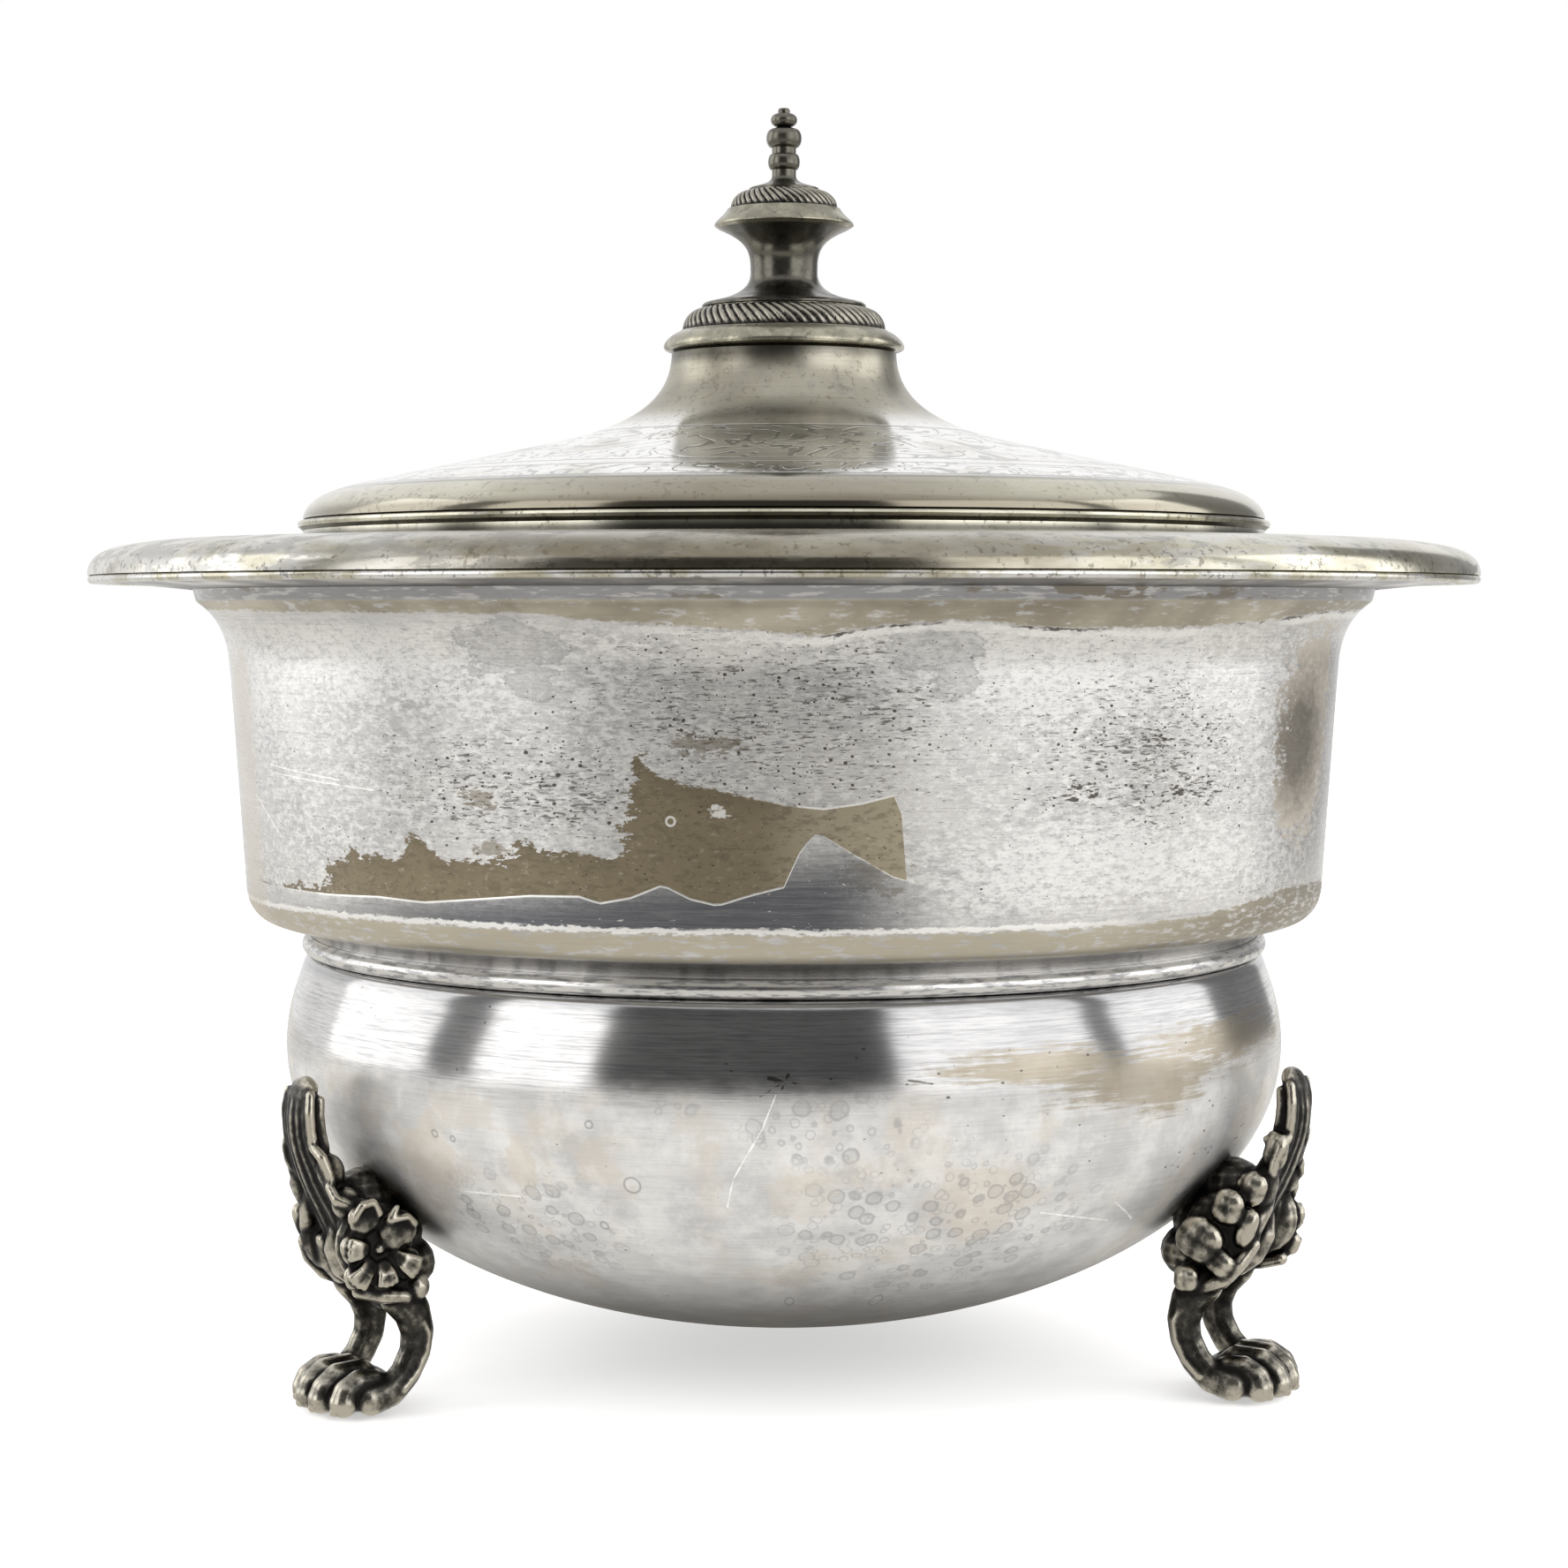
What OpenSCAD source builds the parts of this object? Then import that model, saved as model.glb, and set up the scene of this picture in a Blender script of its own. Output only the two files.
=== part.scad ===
// Footed sugar bowl with a wide rim and a domed lift-off lid, plated sheet on three cast feet.
// +Z is up. The origin is on the table, under the axis of the bowl.

/* [Sheet and fits] */
// Thickness of the spun sheet
wall = 0.8; // [0.5:0.1:1.2]
// Space left for solder in each seam
solder_gap = 0.05; // [0.02:0.01:0.1]
// Radial clearance between the lid's locating ring and the mouth
lid_fit = 0.4; // [0.2:0.05:0.8]
// Height of the lid above its seat at rest
seat_gap = 0.1; // [0.05:0.05:0.3]
// Radial clearance between the stud and the pieces threaded on it
stud_fit = 0.05; // [0.02:0.01:0.1]

/* [Upper wall] */
// Outer radius of the wall just above its bottom corner
drum_r = 60.1; // [48:0.1:75]
// How much wider the wall is at its top
drum_flare = 1.8; // [0:0.1:4]
// Height of the straight part of the wall
drum_h = 23.9; // [18:0.1:32]
// Radius of the bottom corner, across
corner_w = 2.9; // [1.5:0.1:4]
// Radius of the bottom corner, up
corner_h = 3.8; // [2:0.1:5]
// Height of the hollow moulding under the corner
step_h = 1.9; // [1.5:0.1:3]
// How far the bottom corner stands out from the neck
step_w = 7.05; // [6:0.05:9]

/* [Collar] */
// How far the collar stands out from the top of the wall
collar_step = 4.4; // [3:0.1:6]
// Height of the hollow moulding under the collar
collar_cove = 7.1; // [5:0.1:9]
// Height of the collar that shows below the rim
collar_h = 2.6; // [1.5:0.1:4]
// How much the collar narrows towards its lower edge
collar_taper = 0.7; // [0:0.1:1.2]

/* [Lower bowl] */
// Height of the bottom above the table
clearance = 4.1; // [3:0.1:8]
// Height from the bottom to the widest part
bulb_drop = 31.2; // [25:0.1:38]
// Height from the widest part to the shoulder
bulb_rise = 9.9; // [8:0.1:12]
// How far the widest part stands out from the neck
bulb_out = 3.5; // [2.5:0.1:5]
// Height of the neck seam
neck_h = 2.05; // [1.7:0.05:3]
// How far the neck ring stands out
ring_out = 0.9; // [0.6:0.1:1.5]

/* [Rim] */
// How far the rim stands out from the collar
rim_out = 10.9; // [8:0.1:14]
// Height of the domed rim above its edge
rim_h = 3.7; // [2.5:0.1:5]
// Width of the rounded part of the rim
rim_round = 7.7; // [5:0.1:9]
// Height of the rim's edge above the collar
rim_lift = 1.3; // [0.8:0.1:2.5]
// Radius of the wire on the rim's edge
edge_wire_r = 0.45; // [0.3:0.05:0.6]
// Distance from the collar in to the mouth
mouth_inset = 16.5; // [12:0.1:20]
// Depth of the mouth ring
mouth_depth = 5.4; // [4:0.1:8]
// Depth of the seat below the top of the rim
seat_drop = 0.7; // [0.4:0.1:1.2]

/* [Lid] */
// How far the lid laps over the mouth
lid_lap = 4.1; // [3:0.1:6]
// Height of the ring at the lid's edge
lid_edge_h = 3.2; // [2.5:0.1:4.5]
// How far the lip stands out from the lid's edge
lip_out = 0.6; // [0.3:0.1:0.8]
// Height of the rolled edge of the lid
roll_h = 4.3; // [3:0.1:6]
// Width of the rolled edge of the lid
roll_w = 7.8; // [5:0.1:10]
// Rise of the shallow cone of the lid
cone_h = 4.1; // [3:0.1:7]
// Radius where the neck of the lid sweeps out to the cone
sweep_r = 27.3; // [22:0.1:32]
// Height of the lid's neck
lid_neck_h = 10.8; // [8:0.1:14]
// Depth of the locating ring into the mouth
locating_depth = 4.9; // [3:0.1:7]

/* [Finial] */
// Largest radius of the finial's base
base_r = 13.6; // [11:0.1:15]
// Height of the rounded edge of the base
base_edge_h = 2.35; // [1.8:0.05:3]
// Radius of the shoulder that carries the lower rope band
base_shoulder_r = 9.1; // [8.4:0.1:9.8]
// Height of the lower rope band
base_rope_h = 2.5; // [2:0.1:3]
// Width of the lower rope band
base_rope_w = 2.4; // [2:0.1:2.8]
// Radius of the spool's waist
waist_r = 3.8; // [3:0.1:4.8]
// Height of the spool
spool_h = 9.0; // [7.5:0.1:11]
// Radius of the sharp edge of the disc
disc_r = 7.9; // [6.8:0.1:8.6]
// Height of the rounded edge of the disc
disc_edge_h = 2.3; // [1.8:0.1:3]
// Radius of the shoulder that carries the upper rope band
disc_shoulder_r = 3.95; // [3.4:0.05:4.4]
// Height of the upper rope band
disc_rope_h = 2.0; // [1.6:0.1:2.4]
// Width of the upper rope band
disc_rope_w = 2.1; // [1.7:0.1:2.4]
// Height of the spire
spire_h = 9.35; // [8:0.05:12]
// Radius of the spire's largest bead
spire_bead_r = 2.0; // [1.7:0.1:2.4]
// Radius of the threaded stud
stud_r = 1.5; // [1.2:0.1:1.8]
// Width of the nut across its flats
nut_af = 5.5; // [4.5:0.1:7]
// Thickness of the nut
nut_h = 2.4; // [2:0.1:3]
// Radius of the washer
washer_r = 5; // [4:0.1:7]
// Thickness of the washer
washer_h = 0.8; // [0.5:0.1:1.2]

/* [Feet] */
// Number of degrees from the right foot to +X, clockwise
foot_turn = 30; // [0:1:60]
// How far the leaf of each foot stands out from the widest part of the bowl
leaf_out = 5.4; // [4.5:0.1:7]
// Height of each foot
foot_h = 34; // [31:0.1:36]
// Width of the leaf's tongue
tongue_w = 6.4; // [5:0.1:8]
// Width of the leaf at its side lobes
leaf_w = 17; // [14:0.1:20]
// Distance between the two scroll legs of a foot, centre to centre
leg_spacing = 10; // [8.5:0.1:11]
// Thickness of a scroll leg
leg_t = 2.6; // [2.2:0.1:3.4]
// Outer radius of a scroll leg's curve
leg_r = 7.6; // [6.8:0.1:8.2]
// Depth of a scroll leg, front to back
leg_depth = 3.6; // [3:0.1:4.2]
// Width of the paw
paw_w = 11; // [10:0.1:13]
// Length of the paw from its heel to its toes
paw_l = 10.6; // [9:0.1:13]
// Height of the paw
paw_h = 5.2; // [4.2:0.1:6]

/* [Hidden] */
$fn = 96;

silver = "#c9c7c2";
tarnish = "#a59f8b";
pewter = "#77736a";
brass = "#b5a67c";

// Radii, from the wall outwards and inwards
neck_out_r = drum_r - step_w;
neck_r = neck_out_r - wall - solder_gap;
bulb_r = neck_r + bulb_out;
drum_top_r = drum_r + drum_flare;
collar_r = drum_top_r + collar_step;
rim_r = collar_r + rim_out;
mouth_r = collar_r - mouth_inset;
lid_r = mouth_r + lid_lap;
lid_neck_r = base_r - 0.9;

// Heights, from the table up
bulb_mid_z = clearance + bulb_drop;
shoulder_z = bulb_mid_z + bulb_rise;
drum_foot_z = shoulder_z + solder_gap;
leaf_base_z = clearance + 6.7;
leaf_seat_z = clearance + 12.3;
neck_top_z = shoulder_z + neck_h;
corner_z = neck_top_z + step_h;
drum_z = corner_z + corner_h;
drum_top_z = drum_z + drum_h;
collar_z = drum_top_z + collar_cove;
plate_z = collar_z + collar_h - rim_lift + 0.1;
edge_z = collar_z + collar_h + 0.3;
rim_z = edge_z + rim_h;
seat_z = rim_z - seat_drop;
lid_z = seat_z + seat_gap;
dome_z = lid_z + lid_edge_h;
cone_z = dome_z + roll_h;
sweep_z = cone_z + cone_h;
lid_top_z = sweep_z + lid_neck_h;
base_rope_z = lid_top_z + base_edge_h;
spool_z = base_rope_z + base_rope_h + solder_gap;
disc_z = spool_z + spool_h;
disc_rope_z = disc_z + disc_edge_h;
spire_z = disc_rope_z + disc_rope_h + solder_gap;

// Width of the lid's edge ring and of the seat it stands on
lid_edge_w = 2.4;
seat_w = 5.2;
// Height of the locating ring's web above the lid's edge
web_h = 0.9;
// The bore for the stud, and the peg under the spire with the space below it
stud_bore_r = stud_r + stud_fit;
peg_r = 1;
peg_h = 1.4;
peg_gap = 0.1;
// How far the stud runs past the nut
stud_past_nut = 1.2;

// Points of an elliptical arc about c, with radii r across and up, from angle a to angle b
function arc(c, r, a, b, n) =
    [for (i = [0:n]) let (t = a + (b - a) * i / n) [c[0] + r[0] * cos(t), c[1] + r[1] * sin(t)]];

// Points of a smooth curve from a to d, drawn towards b and c on the way
function curve(a, b, c, d, n) =
    [for (i = [0:n]) let (t = i / n, u = 1 - t) u * u * u * a + 3 * u * u * t * b + 3 * u * t * t * c + t * t * t * d];

// A path with repeated points taken out
function tidy(path) =
    [for (i = [0:len(path) - 1]) if (i == 0 || norm(path[i] - path[max(i - 1, 0)]) > 0.01) path[i]];

// A path moved to its left by d, which is the inner side of each sheet
function inner_side(path, d) =
    [for (i = [0:len(path) - 1])
        let (a = path[max(i - 1, 0)], b = path[min(i + 1, len(path) - 1)], t = (b - a) / norm(b - a))
        [max(0, path[i][0] - d * t[1]), path[i][1] + d * t[0]]];

function backwards(path) = [for (i = [len(path) - 1:-1:0]) path[i]];

// A sheet spun to the outline of path, with its thickness on the inner side
module spun(path) {
    clean = tidy(path);
    rotate_extrude() polygon(concat(clean, backwards(inner_side(clean, wall))));
}

// The outer outline of the lower bowl, from the axis up to the shoulder
function bulb_outline() = concat(
    arc([0, bulb_mid_z], [bulb_r, bulb_drop], -90, 0, 18),
    curve([bulb_r, bulb_mid_z], [bulb_r, bulb_mid_z + 0.35 * bulb_rise],
          [neck_out_r + 1.7, shoulder_z - 3.8], [neck_out_r + 1, shoulder_z - 1.8], 5),
    curve([neck_out_r + 1, shoulder_z - 1.8], [neck_out_r + 0.7, shoulder_z - 0.8],
          [neck_out_r + 0.4, shoulder_z], [neck_out_r - 0.1, shoulder_z], 3));

module lower_bowl() {
    color(silver) spun(concat(
        bulb_outline(),
        [[neck_r, shoulder_z], [neck_r, neck_top_z + 0.4]]));
}

module neck_ring() {
    ring_r = neck_out_r + solder_gap;
    half_h = (neck_h - 2 * solder_gap) / 2;
    color(silver) rotate_extrude() polygon(
        arc([ring_r, drum_foot_z + half_h], [ring_out, half_h], -90, 90, 8));
}

module upper_wall() {
    color(silver) spun(concat(
        [[neck_out_r, drum_foot_z]],
        curve([neck_out_r, neck_top_z], [neck_out_r + 0.15, neck_top_z + 0.5 * step_h],
              [drum_r - corner_w - 2.2, corner_z - 0.3], [drum_r - corner_w, corner_z], 6),
        arc([drum_r - corner_w, drum_z], [corner_w, corner_h], -90, 0, 7),
        curve([drum_top_r, drum_top_z], [drum_top_r + 0.2, drum_top_z + 0.5 * collar_cove],
              [drum_top_r + 1.5, drum_top_z + 0.8 * collar_cove],
              [collar_r - collar_taper - 0.3, collar_z - 0.1], 7),
        [[collar_r - collar_taper, collar_z + 0.2], [collar_r, edge_z], [collar_r, rim_z - wall]]));
}

module rim_top() {
    flat_r = rim_r - rim_round;
    seat_r = mouth_r + wall + solder_gap;
    color(tarnish) spun(concat(
        [[rim_r, edge_z], [rim_r, edge_z + 0.3]],
        curve([rim_r, edge_z + 0.3], [rim_r - 0.2, edge_z + 0.6 * rim_h],
              [rim_r - 0.23 * rim_round, rim_z - 0.45], [flat_r, rim_z], 8),
        [[collar_r - 1.5, rim_z]],
        curve([seat_r + seat_w + 2.4, rim_z], [seat_r + seat_w + 1.2, rim_z], [seat_r + seat_w + 1, seat_z],
              [seat_r + seat_w, seat_z], 4),
        [[seat_r, seat_z]]));
}

module rim_underplate() {
    plate_in_r = collar_r + solder_gap;
    plate_out_r = rim_r - 2 * edge_wire_r - solder_gap;
    color(tarnish) rotate_extrude() polygon([
        [plate_in_r, plate_z], [plate_out_r, edge_z - 0.7 * wall],
        [plate_out_r, edge_z - solder_gap], [plate_in_r, plate_z + wall]]);
}

module rim_edge_wire() {
    color(silver) rotate_extrude() translate([rim_r - edge_wire_r, edge_z - edge_wire_r]) circle(edge_wire_r);
}

module mouth_ring() {
    color(silver) rotate_extrude() translate([mouth_r, seat_z - mouth_depth]) square([wall, mouth_depth]);
}

// The casting's outline from the side: the leaf stands off the bowl at its top and ends over the legs
module leaf_side(front, leg_x) {
    tip_t = 1.8;
    back_x = front - 21;
    polygon(concat(
        [[back_x, leaf_seat_z], [leg_x - 4.4, leaf_seat_z - 2], [leg_x - 4.2, leaf_base_z], [leg_x - 1.8, leaf_base_z]],
        curve([leg_x - 1.8, leaf_base_z], [front - 5.6, leaf_base_z + 5], [front - 2.6, foot_h - 14],
              [front - 0.9, foot_h - 9], 5),
        curve([front - 0.9, foot_h - 9], [front + 0.1, foot_h - 6], [front + 0.3, foot_h - 0.6],
              [front - 1.6, foot_h], 5),
        [[front - 1.2 - tip_t, foot_h - 1.4], [front - 1.6 - tip_t, foot_h - 6.4], [back_x, foot_h - 9]]));
}

// The casting's outline from the front: a tongue above two shoulders
module leaf_front() {
    shoulder_y = leaf_w / 2;
    tongue_y = tongue_w / 2;
    tongue_h = 9;
    polygon([[3.4 - shoulder_y, leaf_base_z - 1], [shoulder_y - 3.4, leaf_base_z - 1],
             [shoulder_y - 1, leaf_seat_z], [shoulder_y - 0.8, leaf_seat_z + 4.6],
             [tongue_y + 1.2, foot_h - tongue_h + 0.6], [-tongue_y - 1.2, foot_h - tongue_h + 0.6],
             [0.8 - shoulder_y, leaf_seat_z + 4.6], [1 - shoulder_y, leaf_seat_z]]);
    translate([0, foot_h - tongue_y]) circle(tongue_y);
    translate([-tongue_y, foot_h - tongue_h]) square([tongue_w, tongue_h - tongue_y]);
}

// One scroll leg: the back half of a ring
module scroll_leg() {
    rotate([90, 0, 0]) linear_extrude(leg_t, center = true) difference() {
        circle(leg_r);
        circle(leg_r - leg_depth);
        translate([0.6, -leg_r]) square([leg_r + 1, 2 * leg_r]);
    }
}

// The paw from its heel at x = 0: a flat pad and four toes, the outer two set back
module paw() {
    pad_h = 3.4;
    toe_w = paw_w / 4;
    tip_r = paw_h / 2;
    toe_l = paw_l - tip_r;
    translate([0, -paw_w / 2, 0]) cube([paw_l - 4.6, paw_w, pad_h]);
    for (i = [0:3]) {
        set_back = (i == 0 || i == 3) ? 1.4 : 0;
        translate([2.4, toe_w * (i - 1.5), tip_r]) rotate([0, 90, 0])
            cylinder(h = toe_l - 2.4 - set_back, r = toe_w / 2 + 0.25);
        translate([toe_l - set_back, toe_w * (i - 1.5), tip_r]) sphere(tip_r);
    }
}

// One cast foot, standing out along +X: a leaf with side lobes, two scroll legs and a paw
module foot() {
    front = bulb_r + leaf_out;
    leg_x = front - 6.4;
    heel_x = leg_x - 4.6;
    low_lobe = [front - 7.6, leaf_w / 2 - 1.6, leaf_seat_z + 2.6];
    high_lobe = [front - 4.6, leaf_w / 2 - 3.6, leaf_seat_z + 6.6];
    difference() {
        union() {
            intersection() {
                rotate([90, 0, 0]) linear_extrude(leaf_w, center = true) leaf_side(front, leg_x);
                translate([front - 22, 0, 0]) rotate([90, 0, 90]) linear_extrude(24) leaf_front();
            }
            for (side = [-1, 1]) {
                translate([low_lobe[0], side * low_lobe[1], low_lobe[2]]) sphere(3.4);
                translate([high_lobe[0], side * high_lobe[1], high_lobe[2]]) sphere(2.4);
                translate([leg_x, side * leg_spacing / 2, leg_r]) scroll_leg();
            }
            translate([heel_x, 0, 0]) paw();
        }
        // The back of the casting fits the bowl
        rotate_extrude() polygon(concat(tidy(bulb_outline()), [[0, shoulder_z]]));
        // The paw stands flat on the table
        translate([0, -leaf_w, -10]) cube([rim_r, 2 * leaf_w, 10]);
    }
}

module foot_left() {
    color(pewter) rotate([0, 0, 180 + foot_turn]) foot();
}

module foot_right() {
    color(pewter) rotate([0, 0, -foot_turn]) foot();
}

module foot_rear() {
    color(pewter) rotate([0, 0, 90]) foot();
}

module lid_dome() {
    color(tarnish) spun(concat(
        [[lid_r, dome_z]],
        curve([lid_r, dome_z + 0.3], [lid_r - 0.6, dome_z + 0.6 * roll_h], [lid_r - 0.44 * roll_w, cone_z - 0.95],
              [lid_r - roll_w, cone_z], 8),
        curve([sweep_r, sweep_z], [lid_neck_r + 2.3, sweep_z + 0.23 * lid_neck_h],
              [lid_neck_r + 0.2, sweep_z + 0.6 * lid_neck_h], [lid_neck_r, lid_top_z - 0.3], 10),
        [[lid_neck_r - 0.3, lid_top_z], [stud_bore_r, lid_top_z]]));
}

module lid_edge_ring() {
    in_r = lid_r - lid_edge_w;
    color(tarnish) rotate_extrude() polygon([
        [in_r, lid_z], [lid_r, lid_z], [lid_r, dome_z - 1.3], [lid_r + lip_out - 0.1, dome_z - 0.9],
        [lid_r + lip_out, dome_z - 0.55], [lid_r + lip_out - 0.25, dome_z - 0.25], [lid_r - 0.4, dome_z],
        [in_r, dome_z]]);
}

module lid_locating_ring() {
    out_r = mouth_r - lid_fit;
    web_z = lid_z + web_h;
    web_r = lid_r - lid_edge_w - solder_gap;
    color(silver) rotate_extrude() polygon([
        [out_r - wall, seat_z - locating_depth], [out_r, seat_z - locating_depth], [out_r, web_z],
        [web_r, web_z], [web_r, web_z + wall], [out_r - wall, web_z + wall]]);
}

module finial_base() {
    color(tarnish) rotate_extrude() polygon(tidy(concat(
        [[stud_bore_r, lid_top_z]],
        curve([base_r - 1, lid_top_z], [base_r + 1, lid_top_z - 0.1], [base_r - 0.3, lid_top_z + 1.6],
              [base_r - 1.7, base_rope_z - 0.2], 6),
        [[base_r - 2, base_rope_z - solder_gap], [base_shoulder_r - solder_gap, base_rope_z - solder_gap],
         [base_shoulder_r - solder_gap, spool_z], [stud_bore_r, spool_z]])));
}

// A rope band: a quarter round of the given width and height on a shoulder of radius r
module rope_band(r, z, w, h) {
    rotate_extrude() polygon(concat([[r, z]], arc([r, z], [w, h], 0, 90, 8)));
}

module finial_base_rope() {
    color(pewter) rope_band(base_shoulder_r, base_rope_z, base_rope_w, base_rope_h);
}

module finial_spool() {
    foot_r = base_shoulder_r + 0.2;
    waist_z = spool_z + 0.45 * spool_h;
    color(pewter) rotate_extrude() polygon(tidy(concat(
        [[stud_bore_r, spool_z], [foot_r, spool_z], [foot_r, spool_z + 0.3]],
        curve([foot_r - 0.3, spool_z + 0.55], [waist_r + 2.2, spool_z + 1.2], [waist_r, spool_z + 1.9],
              [waist_r, waist_z], 8),
        curve([waist_r, waist_z + 0.6], [waist_r, disc_z - 1.9], [waist_r + 1.2, disc_z - 1.05],
              [disc_r - 0.5, disc_z], 8),
        [[stud_bore_r, disc_z]])));
}

module finial_disc() {
    color(tarnish) rotate_extrude() polygon(tidy(concat(
        [[stud_bore_r, disc_z], [disc_r - 0.5, disc_z]],
        curve([disc_r, disc_z + 0.35], [disc_r, disc_z + 0.8], [disc_r - 1.1, disc_z + 1.4],
              [disc_r - 1.5, disc_rope_z - 0.1], 5),
        [[disc_shoulder_r + disc_rope_w + 0.1, disc_rope_z - solder_gap],
         [disc_shoulder_r - solder_gap, disc_rope_z - solder_gap],
         [disc_shoulder_r - solder_gap, spire_z], [peg_r + stud_fit, spire_z],
         [peg_r + stud_fit, spire_z - peg_h - peg_gap], [stud_bore_r, spire_z - peg_h - peg_gap]])));
}

module finial_disc_rope() {
    color(pewter) rope_band(disc_shoulder_r, disc_rope_z, disc_rope_w, disc_rope_h);
}

module finial_spire() {
    beads_z = spire_z + 1.7;
    beads_h = spire_h - 1.7;
    neck = 0.68 * spire_bead_r;
    color(pewter) rotate_extrude() polygon(tidy(concat(
        [[0, spire_z - peg_h], [peg_r, spire_z - peg_h], [peg_r, spire_z], [disc_shoulder_r, spire_z],
         [disc_shoulder_r, spire_z + 0.2]],
        curve([disc_shoulder_r - 0.2, spire_z + 0.3], [2.4, spire_z + 0.7], [neck, spire_z + 0.9], [neck, beads_z], 5),
        arc([neck, beads_z + 0.2 * beads_h], [0.9 * spire_bead_r - neck, 0.12 * beads_h], -90, 90, 6),
        arc([neck, beads_z + 0.55 * beads_h], [spire_bead_r - neck, 0.14 * beads_h], -90, 90, 6),
        arc([0.5 * neck, beads_z + 0.82 * beads_h], [0.75 * spire_bead_r - 0.5 * neck, 0.1 * beads_h], -90, 90, 6),
        [[0.5 * neck, beads_z + beads_h - 0.2], [0, beads_z + beads_h]])));
}

module finial_stud() {
    low_z = lid_top_z - wall - washer_h - nut_h - stud_past_nut;
    high_z = spire_z - peg_h - peg_gap - stud_fit;
    color(brass) translate([0, 0, low_z]) cylinder(h = high_z - low_z, r = stud_r);
}

module finial_washer() {
    color(brass) translate([0, 0, lid_top_z - wall - washer_h]) difference() {
        cylinder(h = washer_h, r = washer_r);
        translate([0, 0, -1]) cylinder(h = washer_h + 2, r = stud_bore_r);
    }
}

module finial_nut() {
    color(brass) translate([0, 0, lid_top_z - wall - washer_h - nut_h]) difference() {
        cylinder(h = nut_h, r = nut_af / sqrt(3), $fn = 6);
        translate([0, 0, -1]) cylinder(h = nut_h + 2, r = stud_bore_r);
    }
}

lower_bowl();
neck_ring();
upper_wall();
rim_top();
rim_underplate();
rim_edge_wire();
mouth_ring();
foot_left();
foot_right();
foot_rear();
lid_dome();
lid_edge_ring();
lid_locating_ring();
finial_base();
finial_base_rope();
finial_spool();
finial_disc();
finial_disc_rope();
finial_spire();
finial_stud();
finial_washer();
finial_nut();
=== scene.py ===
"""Footed sugar bowl with a wide rim and a domed lid, worn silver plate on cast feet."""
import math

import bpy
import numpy as np
from mathutils import Matrix, Vector


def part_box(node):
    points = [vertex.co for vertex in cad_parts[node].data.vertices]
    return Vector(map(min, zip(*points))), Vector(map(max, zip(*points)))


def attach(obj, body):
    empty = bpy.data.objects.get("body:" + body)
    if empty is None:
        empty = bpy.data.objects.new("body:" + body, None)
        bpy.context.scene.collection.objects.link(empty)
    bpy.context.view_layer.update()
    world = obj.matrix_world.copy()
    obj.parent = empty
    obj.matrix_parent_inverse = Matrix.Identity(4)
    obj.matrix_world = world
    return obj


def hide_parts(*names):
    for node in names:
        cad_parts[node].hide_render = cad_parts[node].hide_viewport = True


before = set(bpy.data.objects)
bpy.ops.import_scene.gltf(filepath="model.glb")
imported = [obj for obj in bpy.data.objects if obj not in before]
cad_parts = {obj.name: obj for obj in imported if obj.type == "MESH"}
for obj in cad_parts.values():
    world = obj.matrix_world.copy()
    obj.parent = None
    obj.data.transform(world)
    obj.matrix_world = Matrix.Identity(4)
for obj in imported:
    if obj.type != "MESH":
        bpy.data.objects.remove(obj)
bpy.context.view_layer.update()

bl_info = {
    "name": "Sugar Bowl",
    "version": (1, 0, 0),
    "blender": (4, 5, 0),
    "location": "View3D > Sidebar > Sugar Bowl",
    "description": "Models the visible pieces of a footed, lidded sugar bowl and its studio",
    "category": "Object",
}

MM = 0.001
# Points closer than this are one point
SAME_POINT = 0.002 * MM
# Directions, in degrees round the axis from +X: the bowl's front and its three feet
FRONT = 266.0
FOOT_TURNS = {"foot_left": 210.0, "foot_right": 330.0, "foot_rear": 90.0}
# What turns a finish's pattern so that its front is at -Y
BACK_TO_FRONT = math.radians(270 - FRONT)


def low(node):
    """The lowest corner of a CAD node, in millimetres."""
    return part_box(node)[0] / MM


def high(node):
    """The highest corner of a CAD node, in millimetres."""
    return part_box(node)[1] / MM


# Outlines, in millimetres: each point is (distance from the axis, height)

def arc(centre, radii, start, end, n):
    points = []
    for i in range(n + 1):
        t = math.radians(start + (end - start) * i / n)
        points.append((centre[0] + radii[0] * math.cos(t), centre[1] + radii[1] * math.sin(t)))
    return points


def curve(a, b, c, d, n):
    points = []
    for i in range(n + 1):
        t = i / n
        u = 1 - t
        weights = (u * u * u, 3 * u * u * t, 3 * u * t * t, t * t * t)
        points.append(tuple(sum(w * p[k] for w, p in zip(weights, (a, b, c, d))) for k in (0, 1)))
    return points


def tidy(path, closest=0.01):
    kept = [path[0]]
    for p in path[1:]:
        if math.dist(p, kept[-1]) > closest:
            kept.append(p)
    return kept


def sheet(path, thickness):
    """A closed outline: the path, and the same path moved to its left by the sheet's thickness."""
    path = tidy(path)
    inner = []
    for i, p in enumerate(path):
        a = path[max(i - 1, 0)]
        b = path[min(i + 1, len(path) - 1)]
        span = math.dist(a, b)
        inner.append((max(0, p[0] - thickness * (b[1] - a[1]) / span),
                      p[1] + thickness * (b[0] - a[0]) / span))
    return path + inner[::-1]


# Modelling

def object_mode():
    if bpy.context.object and bpy.context.object.mode != "OBJECT":
        bpy.ops.object.mode_set(mode="OBJECT")
    bpy.ops.object.select_all(action="DESELECT")


def only(piece):
    object_mode()
    piece.select_set(True)
    bpy.context.view_layer.objects.active = piece


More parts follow.
